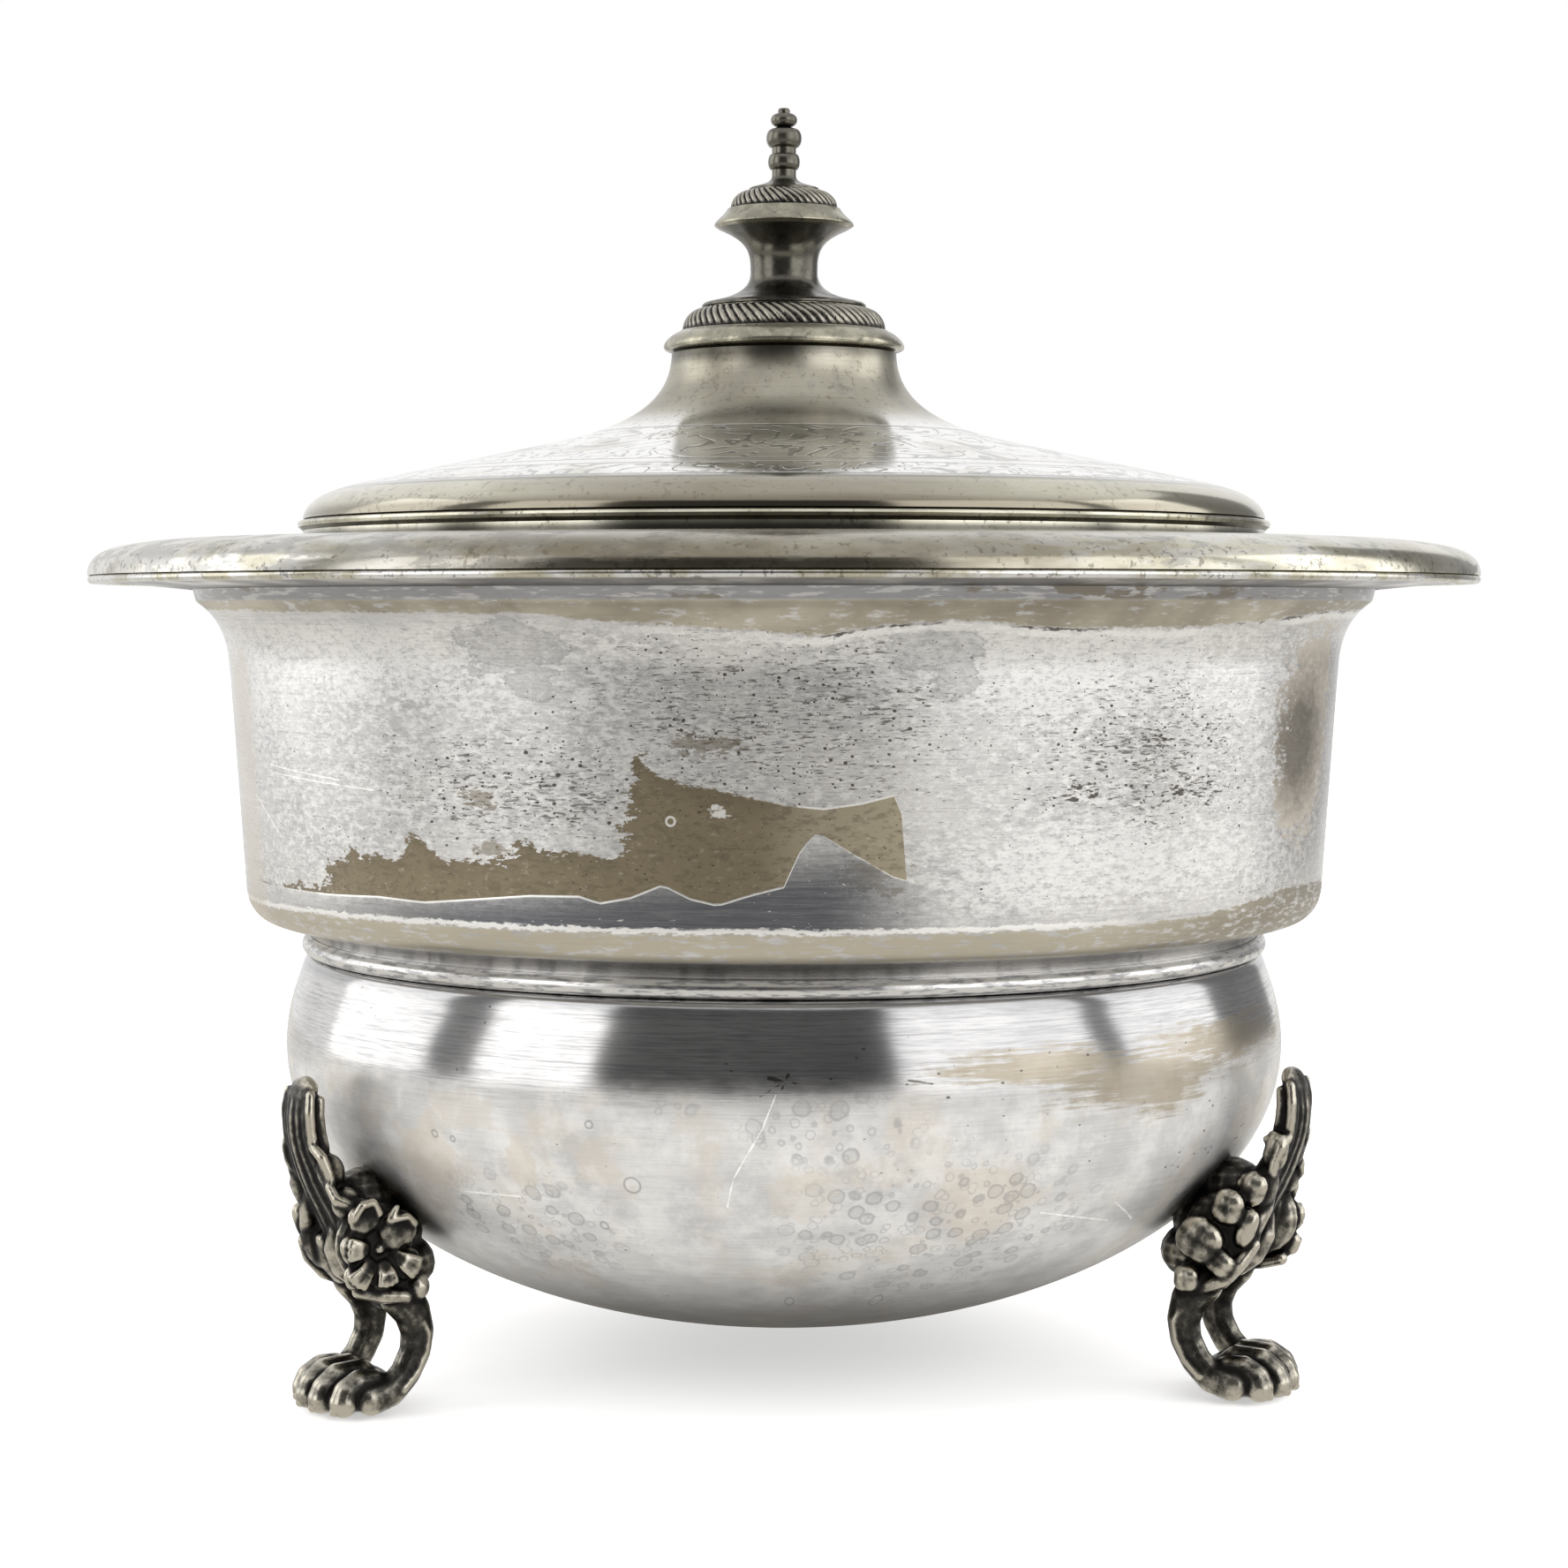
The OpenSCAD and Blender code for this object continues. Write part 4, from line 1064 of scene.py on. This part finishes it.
def leaf_body():
    """The curved leaf from the legs up to the tip of its tongue, with the stem that carries it."""
    for i in range(30):
        z = 11.4 + 0.77 * i
        thick = float(np.interp(z, (12, 20, 27, 34), (2.2, 2.0, 1.4, 1.0)))
        slope = math.degrees(math.atan2(leaf_front(z + 0.6) - leaf_front(z - 0.6), 1.2))
        lump((leaf_front(z) - thick, 0, z), (thick, leaf_half(z), 1.4), (0, slope, 0))
    for at, radii in (((52.8, 0, 21.5), (4.0, 3.6, 3.6)), ((51.2, 0, 18.2), (4.6, 5.2, 4.4)),
                      ((49.5, 0, 15.0), (4.2, 5.6, 3.2)), ((50.4, 0, 12.9), (3.2, 5.6, 2.0))):
        lump(at, radii)


def leaf_ribs():
    """The flutes that run down the face of the leaf."""
    for spread, thin in ((0.0, 0.62), (0.34, 0.5), (-0.34, 0.5), (0.68, 0.5), (-0.68, 0.5)):
        path, radii = [], []
        for i in range(13):
            z = 32.6 - 1.62 * i
            across = spread * leaf_half(z)
            sag = 0.35 + 1.5 * spread * spread * (0.4 + 0.6 * i / 12)
            path.append((leaf_front(z) - sag, across, z))
            radii.append(thin * (0.75 if i == 0 else 1) + 0.02 * i)
        limb(path, radii)
        yield


def leaf_edges():
    """The rolled edge of the tongue and of the side leaves under it."""
    for side in (-1, 1):
        limb([(leaf_front(z) - 0.75, side * (leaf_half(z) - 0.15), z) for z in (33.4, 31.6, 29.8, 28.2)],
             (0.5, 0.55, 0.55, 0.6))
        limb([(leaf_front(z) - 1.95, side * (leaf_half(z) - 0.5), z) for z in (32.8, 31.2, 29.6, 27.8)],
             (0.5, 0.55, 0.6, 0.6))
        limb([(60.0, side * 3.2, 28.0), (59.6, side * 4.1, 27.2), (59.0, side * 4.3, 25.6),
              (58.7, side * 4.4, 24.4)], (0.55, 0.6, 0.6, 0.55))


def hooked_leaves():
    """The hooked leaves that show below the tongue on the face."""
    limb([(57.9, -2.2, 22.6), (57.6, -3.4, 20.6), (56.8, -4.8, 18.6), (56.1, -5.6, 17.4)],
         (0.7, 0.9, 1.0, 0.8))
    limb([(56.4, 1.0, 19.0), (56.3, 0.4, 17.0), (55.2, 0.0, 15.0), (53.8, -0.2, 13.6)],
         (0.9, 1.2, 1.3, 1.0))
    limb([(56.6, 3.2, 20.0), (56.0, 4.2, 17.4), (54.6, 4.4, 15.0), (53.0, 4.2, 13.2)],
         (0.8, 1.1, 1.2, 1.0))
    limb([(56.0, -3.0, 17.4), (55.0, -3.8, 15.2), (53.4, -4.0, 13.4)], (0.9, 1.2, 1.1))


def rosette():
    """The flower on the leaf's right side."""
    lump((54.2, 5.0, 18.2), (4.4, 2.2, 4.2))
    petals = ((56.2, 7.2, 21.2, 1.85, 1.7), (52.7, 7.5, 19.6, 2.1, 1.9), (57.3, 7.0, 18.1, 1.5, 1.6),
              (56.8, 6.9, 15.3, 1.6, 1.4), (54.2, 7.3, 15.2, 1.6, 1.6), (51.4, 7.1, 16.0, 1.6, 1.6))
    for out, across, z, wide, tall in petals:
        petal((out, across - 0.2, z), (wide, 0.8, tall), 25)
    # The left upper petal has a raised lip, the right one a point
    limb([(57.6, 7.5, 21.4), (56.9, 7.8, 22.6), (55.6, 7.7, 22.8), (54.9, 7.7, 21.6)],
         (0.4, 0.45, 0.45, 0.4))
    limb([(53.6, 7.7, 20.9), (53.0, 7.9, 22.1)], (0.6, 0.3))
    limb([(51.0, 7.9, 20.2), (51.9, 8.0, 21.0), (53.4, 8.0, 20.9)], (0.4, 0.45, 0.4))
    lump((49.9, 6.5, 13.4), (1.25, 1.2, 1.4))
    limb([(56.4, 6.0, 13.5), (54.0, 6.6, 12.9), (51.4, 6.6, 12.6)], (0.75, 0.85, 0.8))
    # The two side leaves above the flower
    lump((58.3, 3.4, 25.6), (1.5, 1.3, 1.9), (0, 18, 0))
    lump((57.2, 4.8, 22.4), (1.6, 1.4, 1.7), (0, 22, 0))
    limb([(59.0, 4.6, 24.2), (58.6, 5.4, 23.0), (57.4, 6.1, 22.4), (56.2, 6.3, 22.6)],
         (0.5, 0.6, 0.6, 0.5))


def flower_flutes():
    """The fluted lower petals of the flower and its heart."""
    heart = Vector((54.6, 6.4, 17.9))
    lump(heart + Vector((0, 0.5, 0)), (0.7, 0.7, 0.7))
    for out, across, z in ((57.3, 7.0, 18.1), (56.8, 6.9, 15.3), (54.2, 7.3, 15.2), (51.4, 7.1, 16.0)):
        tip = Vector((out, across, z))
        away = (tip - heart).normalized()
        side = Vector((-away.z, 0, away.x))
        for shift in (-0.85, -0.3, 0.3, 0.85):
            start = heart + away * 1.5 + side * shift * 0.5 + Vector((0, 0.6, 0))
            end = tip + away * (1.0 - 0.3 * abs(shift)) + side * shift * 1.1 + Vector((0, 0.55, 0))
            limb([start, (start + end) / 2 + Vector((0, 0.35, 0)), end], (0.2, 0.3, 0.36))
        yield


def petal_cluster():
    """The smooth petals down the leaf's left side."""
    petals = ((58.9, -3.7, 26.6, 1.2, 1.2, 1.9, 14), (57.0, -5.6, 22.8, 1.35, 1.2, 1.7, 24),
              (54.8, -7.0, 21.0, 1.6, 1.3, 1.75, 10), (51.9, -7.6, 17.5, 2.35, 1.5, 2.1, 30),
              (54.0, -7.3, 15.2, 1.45, 1.2, 1.3, 40), (56.6, -6.4, 18.8, 0.95, 1.2, 2.0, 22),
              (50.3, -7.0, 13.2, 1.35, 1.2, 1.35, 0))
    for out, across, z, wide, deep, tall, turn in petals:
        petal((out, across, z), (wide * 1.08, deep * 0.8, tall * 1.08), turn)
    lump((53.4, -4.8, 17.8), (4.2, 2.2, 4.4))
    lump((57.6, -3.8, 22.6), (1.4, 1.6, 2.6), (0, 24, 0))
    limb([(57.0, -5.4, 17.0), (55.8, -6.6, 15.0), (54.0, -6.7, 13.2), (51.6, -6.4, 12.2)],
         (0.75, 0.8, 0.85, 0.8))
    for at in ((58.4, -3.4, 28.3), (57.9, -3.7, 27.8), (56.1, -5.5, 24.0), (55.7, -5.7, 23.4),
               (49.8, -7.5, 17.9), (50.2, -7.9, 16.9), (49.6, -7.3, 16.7)):
        lump(at, (0.42, 0.42, 0.42))


def scroll_legs():
    """The two legs, each curling in under the leaf and out to the paw."""
    path = ((51.4, 12.6), (50.0, 10.7), (49.35, 8.6), (49.6, 6.5), (50.7, 4.4), (52.4, 2.7), (54.6, 2.1))
    radii = (2.3, 2.0, 1.8, 1.7, 1.65, 1.65, 1.7)
    for side in (-1, 1):
        limb([(out, side * 5.3, z) for out, z in path], radii, flat=0.78)


def leg_ridges():
    """The raised lines along the sides of the legs."""
    for side in (-1, 1):
        ridge = ((51.8, 12.0), (50.9, 10.6), (50.0, 9.8), (49.2, 8.4), (49.4, 6.6), (50.4, 4.6),
                 (52.0, 3.0))
        limb([(out - 0.55, side * 6.35, z) for out, z in ridge], (0.45,) * 7)
        limb([(out + 0.75, side * 6.1, z) for out, z in ridge[1:]], (0.34,) * 6)


def paw():
    """The sole and its four toes."""
    lump((54.4, 0, 1.9), (4.2, 5.2, 1.9))
    lump((53.2, 0, 2.8), (3.0, 4.6, 1.7))
    for i, across in enumerate((-4.3, -1.45, 1.45, 4.3)):
        outer = i in (0, 3)
        reach = 57.3 if outer else 58.3
        limb([(51.9, across * 1.12, 2.5), (53.9, across * 1.03, 3.7 if outer else 4.2),
              (reach - 1.7, across, 3.7 if outer else 4.0), (reach - 0.3, across, 2.9),
              (reach, across, 1.9)], (1.2, 1.3, 1.38, 1.4, 1.55))
        lump((reach - 0.5, across, 3.3), (1.15, 1.2, 0.95))
        # A short claw under the tip of the toe
        limb([(reach + 0.7, across, 1.9), (reach + 1.1, across, 1.1)], (0.6, 0.5))


def average_neighbours(co, edges, count, rounds):
    for _ in range(rounds):
        total = np.zeros_like(co)
        np.add.at(total, edges[:, 0], co[edges[:, 1]])
        np.add.at(total, edges[:, 1], co[edges[:, 0]])
        co = total / count[:, None]
    return co


def relief_of(piece, rounds, depth):
    """How far each point stands above or below the general surface, from -1 to 1."""
    co = points_of(piece)
    edges = np.zeros(len(piece.data.edges) * 2, np.int32)
    piece.data.edges.foreach_get("vertices", edges)
    edges = edges.reshape(-1, 2)
    count = np.maximum(np.bincount(edges.ravel(), minlength=len(co)), 1).astype(float)
    normals = np.zeros(len(co) * 3, np.float32)
    piece.data.vertices.foreach_get("normal", normals)
    away = co - average_neighbours(co, edges, count, rounds)
    return np.clip((away * normals.reshape(-1, 3)).sum(1) / depth, -1, 1)


class SUGARBOWL_OT_feet(bpy.types.Operator):
    """Builds one cast foot from eggs and rods, melts them together and copies it to the three places"""
    bl_idname = "sugar_bowl.feet"
    bl_label = "Feet"

    def execute(self, context):
        made = []
        for part in (leaf_body, leaf_ribs, leaf_edges, hooked_leaves, rosette, flower_flutes,
                     petal_cluster, scroll_legs, leg_ridges, paw):
            made += self.shape(part)
        object_mode()
        for piece in made:
            piece.select_set(True)
        master = made[0]
        bpy.context.view_layer.objects.active = master
        bpy.ops.object.join()
        master.name = "cast_foot_left"
        only(master)
        melt = master.modifiers.new("Melt", "REMESH")
        melt.mode = "VOXEL"
        melt.voxel_size = fineness().casting_voxel
        bpy.ops.object.modifier_apply(modifier="Melt")
        soften = master.modifiers.new("Soften", "SMOOTH")
        soften.factor, soften.iterations = 0.5, 2
        bpy.ops.object.modifier_apply(modifier="Soften")
        self.fit_to_bowl(master)
        mark(master, "relief", relief_of(master, 14, 0.22))
        # The large hollows, which the cast finish darkens as painted shade
        mark(master, "hollow", relief_of(master, 60, 0.9))
        bpy.ops.object.shade_smooth()
        finish = cast_finish("feet", 0.8)
        copies = [master]
        for node in list(FOOT_TURNS)[1:]:
            only(master)
            bpy.ops.object.duplicate(linked=False)
            bpy.context.object.name = "cast_" + node
            copies.append(bpy.context.object)
        for copy, (node, turn) in zip(copies, FOOT_TURNS.items()):
            only(copy)
            copy.rotation_euler = (0, 0, math.radians(turn))
            bpy.ops.object.transform_apply(location=True, rotation=True, scale=True)
            stands_for(copy, "bowl", node, finish)
        return {"FINISHED"}

    def shape(self, part):
        """Builds a part of the casting, in several small meshes where the part comes in stages."""
        middle = (0.054, 0, 0.015)
        made = [seed("casting", middle)]
        for _ in part() or ():
            made.append(seed("casting", middle))
        for piece in made:
            only(piece)
            bpy.ops.object.mode_set(mode="EDIT")
            close_up()
        return made

    def fit_to_bowl(self, foot):
        """Lays the back of the casting on the bowl and flattens its sole."""
        co = points_of(foot)
        below_widest = 60
        radii, heights = np.array(bulb_outline(below_widest)[:below_widest + 1]).T
        distance = np.hypot(co[:, 0], co[:, 1])
        surface = np.interp(co[:, 2], heights, radii, left=0.0)
        inside = (distance < surface) & (co[:, 2] > heights[0])
        co[:, :2] *= np.where(inside, (surface + 0.01) / np.maximum(distance, 1), 1)[:, None]
        co[:, 2] = np.maximum(co[:, 2], 0)
        place_points(foot, co)


class SUGARBOWL_OT_fastenings(bpy.types.Operator):
    """Gives the rings and fastenings inside the bowl and lid their finishes"""
    bl_idname = "sugar_bowl.fastenings"
    bl_label = "Inner Rings and Fastenings"

    def execute(self, context):
        inner = plain_finish("plated_inner_ring", "silver", 0.3)
        brass = plain_finish("bare_brass_fastening", "fastening", 0.3)
        for node, finish in (("mouth_ring", inner), ("lid_locating_ring", inner), ("finial_stud", brass),
                             ("finial_washer", brass), ("finial_nut", brass)):
            coat(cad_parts[node], finish)
        return {"FINISHED"}


class SUGARBOWL_OT_stage(bpy.types.Operator):
    """Sets out the pale floor, the tall soft lights, the grey walls they stand against and the camera"""
    bl_idname = "sugar_bowl.stage"
    bl_label = "Stage"

    def execute(self, context):
        stage = context.scene.sugar_bowl_stage
        self.floor(stage)
        self.walls(stage)
        for start, end in ((-42, -71), (-85, -122), (25, 73), (81, 115)):
            self.soft_light(stage, start, end)
        world = bpy.data.worlds.new("pale_room")
        context.scene.world = world
        world.use_nodes = True
        sky = world.node_tree.nodes["Background"]
        sky.inputs["Color"].default_value = (1, 1, 1, 1)
        sky.inputs["Strength"].default_value = stage.room
        context.scene.view_settings.view_transform = "Standard"
        self.camera(context, stage)
        return {"FINISHED"}

    def glow(self, name, brightness=1.0):
        """A finish with a light of its own."""
        f = Finish(name)
        f.fill(f.skin["Specular IOR Level"], 0)
        f.fill(f.skin["Emission Strength"], brightness)
        return f

    def disc(self, name, radius, height, f):
        object_mode()
        bpy.ops.mesh.primitive_circle_add(vertices=96, radius=radius, fill_type="NGON",
                                          location=(0, 0, height))
        piece = bpy.context.object
        piece.name = name
        piece.data.materials.append(f.material)
        return piece

    def reflected_only(self, piece, f, colour):
        """Only reflections see this piece, in the given colour."""
        f.fill(f.skin["Base Color"], (0, 0, 0))
        f.fill(f.skin["Emission Color"], colour)
        for ray in ("camera", "diffuse", "shadow", "transmission", "volume_scatter"):
            setattr(piece, "visible_" + ray, False)

    def floor(self, stage):
        f = self.glow("pale_floor", stage.floor_glow)
        f.fill(f.skin["Base Color"], (0.9, 0.9, 0.9))
        f.fill(f.skin["Roughness"], 0.9)
        f.fill(f.skin["Emission Color"], (1, 1, 1))
        floor = self.disc("pale_floor", 4, 0, f)
        floor.visible_glossy = False
        floor.visible_shadow = False
        # The metal sees a smaller floor that glows, with the bowl's shadow painted on it, dark under the
        # bowl
        f = self.glow("reflected_floor")
        table = self.disc("reflected_floor", 0.6, -0.0005, f)
        near = f.ramp(f.out, 16.0, 60.0)
        self.reflected_only(table, f, f.tint(near, (0.20, 0.19, 0.17), tuple(stage.floor_colour)))

    def walls(self, stage):
        # The wall runs from the left, past the front, to the right of the back
        start, turn, radius, foot = math.radians(FRONT - 123), math.radians(273), 1.6, -0.3
        wall = seed("grey_wall", (radius * math.cos(start), radius * math.sin(start), foot))
        up = (0, 0, stage.wall_top - foot)
        bpy.ops.mesh.extrude_vertices_move(TRANSFORM_OT_translate={"value": up})
        bpy.ops.mesh.select_all(action="SELECT")
        bpy.ops.mesh.spin(steps=60, angle=turn, center=(0, 0, 0), axis=(0, 0, -1))
        object_mode()
        f = self.glow("grey_wall")
        wall.data.materials.append(f.material)
        level = f.mix(f.band(f.angle, -42, 25, 3), stage.wall_side, stage.wall_front)
        self.reflected_only(wall, f, f.node("CombineXYZ", {}, {0: level, 1: level, 2: level}))

    def soft_light(self, stage, start, end):
        middle = math.radians(FRONT + (start + end) / 2)
        far, below = 1.3, 0.06
        width = 2 * far * math.tan(math.radians(abs(end - start)) / 2)
        height = stage.light_top + below
        spot = Vector((far * math.cos(middle), far * math.sin(middle), (stage.light_top - below) / 2))
        facing = Vector((-spot.x, -spot.y, 0)).to_track_quat("-Z", "Y")
        bpy.ops.object.light_add(type="AREA", location=spot, rotation=facing.to_euler())
        light = bpy.context.object
        light.name = "soft_light"
        light.data.shape = "RECTANGLE"
        light.data.size, light.data.size_y = width, height
        light.data.energy = stage.light * width * height * math.pi
        light.visible_camera = False

    def camera(self, context, stage):
        where = math.radians(FRONT)
        bpy.ops.object.camera_add(
            location=(stage.distance * math.cos(where), stage.distance * math.sin(where), stage.eye),
            rotation=(math.radians(90), 0, math.radians(FRONT - 270)))
        camera = bpy.context.object
        camera.data.lens = stage.lens
        camera.data.sensor_width = 36
        camera.data.shift_y = stage.drop
        camera.data.clip_start = 0.01
        context.scene.camera = camera


def number(name, description, value, **more):
    return bpy.props.FloatProperty(name=name, description=description, default=value, **more)


def length(name, description, value):
    """A length in the panel, given here in millimetres."""
    return number(name, description, value * MM, min=0.0, unit="LENGTH", precision=5)


def metal(name, description, value):
    return bpy.props.FloatVectorProperty(name=name, description=description, default=value, size=3,
                                         min=0.0, max=1.0, subtype="COLOR")


class SugarBowlSizes(bpy.types.PropertyGroup):
    """Sizes of the pieces that the CAD nodes' boxes don't give."""
    wall: length("Sheet", "Thickness of the spun sheet", 0.8)
    drum_r: length("Wall Radius", "Outer radius of the wall just above its bottom corner", 60.1)
    drum_flare: length("Wall Flare", "How much wider the wall is at its top", 1.8)
    corner_w: length("Corner Width", "Radius of the wall's bottom corner, across", 2.9)
    corner_h: length("Corner Height", "Radius of the wall's bottom corner, up", 3.8)
    step_h: length("Step", "Height of the hollow moulding under the corner", 1.9)
    collar_cove: length("Collar Cove", "Height of the hollow moulding under the collar", 7.1)
    collar_h: length("Collar", "Height of the collar that shows below the rim", 2.6)
    collar_taper: length("Collar Taper", "How much the collar narrows downwards", 0.7)
    bulb_rise: length("Bowl Shoulder", "Height from the widest part of the bowl to its shoulder", 9.9)
    ring_out: length("Neck Ring", "How far the neck ring stands out", 0.9)
    rim_round: length("Rim Rounding", "Width of the rounded part of the rim", 7.7)
    edge_wire_r: length("Edge Wire", "Radius of the wire on the rim's edge", 0.45)
    seat_w: length("Seat", "Width of the seat under the lid", 5.2)
    lip_out: length("Lid Lip", "How far the lip stands out from the lid's edge", 0.6)
    lid_edge_w: length("Lid Edge", "Width of the ring at the lid's edge", 2.4)
    roll_h: length("Roll Height", "Height of the lid's rolled edge", 4.3)
    roll_w: length("Roll Width", "Width of the lid's rolled edge", 7.8)
    cone_h: length("Cone", "Rise of the lid's shallow cone", 4.1)
    sweep_r: length("Sweep Radius", "Where the neck of the lid sweeps out to the cone", 27.3)
    lid_neck_r: length("Lid Neck", "Radius of the lid's neck at its top", 12.7)
    bore_r: length("Bore", "Radius of the bore for the stud", 1.55)
    base_r: length("Finial Base", "Largest radius of the finial's base", 13.6)
    base_rope_w: length("Lower Rope", "Width of the lower rope band", 2.4)
    waist_r: length("Waist", "Radius of the spool's waist", 3.8)
    disc_r: length("Disc", "Radius of the sharp edge of the disc", 7.9)
    disc_rope_w: length("Upper Rope", "Width of the upper rope band", 2.1)
    peg_r: length("Peg", "Radius of the peg under the spire", 1.0)
    spire_bead_r: length("Bead", "Radius of the spire's largest bead", 2.0)


class SugarBowlFineness(bpy.types.PropertyGroup):
    """How finely the pieces are divided."""
    steps: bpy.props.IntProperty(name="Steps", description="Steps round each large turned piece",
                                 default=240, min=48, max=360)
    small_steps: bpy.props.IntProperty(name="Finial Steps", description="Steps round each finial piece",
                                       default=96, min=32, max=192)
    casting_voxel: number("Casting Grain", "Cell size when a casting is melted", 0.2 * MM,
                          min=0.1 * MM, unit="LENGTH", precision=5)


class SugarBowlColours(bpy.types.PropertyGroup):
    """Colours of the metals."""
    silver: metal("Silver", "Clean silver plate", (0.66, 0.65, 0.635))
    dull_silver: metal("Dull Silver", "Plate under a thin grey cloud", (0.47, 0.465, 0.46))
    film: metal("Film", "Pale dried film and peeled edges", (0.93, 0.92, 0.90))
    beige: metal("Beige", "Warm stain on the lower bowl", (0.60, 0.54, 0.46))
    slate: metal("Slate", "Grey tarnish on the plate", (0.24, 0.24, 0.25))
    deep_slate: metal("Deep Slate", "Darkest tarnish, under the peeled edge", (0.115, 0.12, 0.135))
    pit: metal("Pit", "Dark corrosion in pits and scratches", (0.07, 0.06, 0.05))
    brass: metal("Brass", "Bare metal where the plate is gone", (0.255, 0.215, 0.145))
    # Also laid on the rim and lid as a painted dark reflection
    dark_brass: metal("Dark Brass", "Bare metal gone dull", (0.15, 0.125, 0.09))
    pale_brass: metal("Pale Brass", "Bare metal rubbed pale", (0.50, 0.45, 0.34))
    tarnish: metal("Tarnish", "Tarnished plate on the lid and rim", (0.66, 0.635, 0.53))
    olive: metal("Olive", "Deeper tarnish on the lid and rim", (0.46, 0.435, 0.34))
    pewter: metal("Pewter", "Dark plate on the finial", (0.085, 0.08, 0.07))
    # Oxide in the castings' hollows; also laid as painted shade under the lid, the rim and the finial base,
    # and round the feet
    recess: metal("Recess", "Oxide in the hollows of the castings", (0.018, 0.017, 0.016))
    worn_cast: metal("Worn Casting", "High points of the castings", (0.60, 0.56, 0.47))
    fastening: metal("Fastening", "Brass of the stud, washer and nut", (0.66, 0.56, 0.34))


class SugarBowlStage(bpy.types.PropertyGroup):
    """Floor, lights and camera."""
    distance: length("Distance", "From the axis to the camera", 370)
    eye: length("Eye Height", "Height of the camera above the floor", 82.9)
    lens: number("Lens", "Focal length for a 36 mm sensor", 75.0, unit="CAMERA")
    drop: number("Drop", "How far the level view is shifted down, as a share of its width", -0.1098,
                 subtype="FACTOR", soft_min=-0.5, soft_max=0.5)
    light: number("Light", "Brightness of the tall soft lights", 1.75)
    light_top: length("Light Top", "Height of the tall soft lights", 1100)
    room: number("Room", "Brightness of the pale room", 1.0)
    wall_top: length("Wall Top", "Height of the grey walls", 1300)
    wall_front: number("Front Wall", "Brightness of the wall between the lights", 0.12)
    wall_side: number("Side Wall", "Brightness of the wall behind the lights", 0.3)
    floor_glow: number("Floor Glow", "How much the floor lightens its own shadows", 0.45)
    floor_colour: metal("Floor", "Colour of the floor as the metal reflects it", (0.86, 0.84, 0.80))


OPERATORS = (SUGARBOWL_OT_stage, SUGARBOWL_OT_lower_bowl, SUGARBOWL_OT_upper_wall, SUGARBOWL_OT_rim,
             SUGARBOWL_OT_lid, SUGARBOWL_OT_finial, SUGARBOWL_OT_rope_bands, SUGARBOWL_OT_feet,
             SUGARBOWL_OT_fastenings)
GROUPS = (("sugar_bowl_sizes", SugarBowlSizes), ("sugar_bowl_fineness", SugarBowlFineness),
          ("sugar_bowl_colours", SugarBowlColours), ("sugar_bowl_stage", SugarBowlStage))


class SUGARBOWL_PT_panel(bpy.types.Panel):
    """Lists the pieces and their settings"""
    bl_idname = "SUGARBOWL_PT_panel"
    bl_label = "Sugar Bowl"
    bl_space_type = "VIEW_3D"
    bl_region_type = "UI"
    bl_category = "Sugar Bowl"

    def draw(self, context):
        column = self.layout.column(align=True)
        for operator in OPERATORS:
            column.operator(operator.bl_idname)
        for group_name, group in GROUPS:
            box = self.layout.box()
            for name in group.__annotations__:
                box.prop(getattr(context.scene, group_name), name)


def register():
    for name, group in GROUPS:
        bpy.utils.register_class(group)
        setattr(bpy.types.Scene, name, bpy.props.PointerProperty(type=group))
    for operator in OPERATORS:
        bpy.utils.register_class(operator)
    bpy.utils.register_class(SUGARBOWL_PT_panel)


def unregister():
    bpy.utils.unregister_class(SUGARBOWL_PT_panel)
    for operator in reversed(OPERATORS):
        bpy.utils.unregister_class(operator)
    for name, group in reversed(GROUPS):
        delattr(bpy.types.Scene, name)
        bpy.utils.unregister_class(group)


def main():
    register()
    for operator in OPERATORS:
        family, name = operator.bl_idname.split(".")
        getattr(getattr(bpy.ops, family), name)()
    object_mode()


if __name__ == "__main__":
    main()
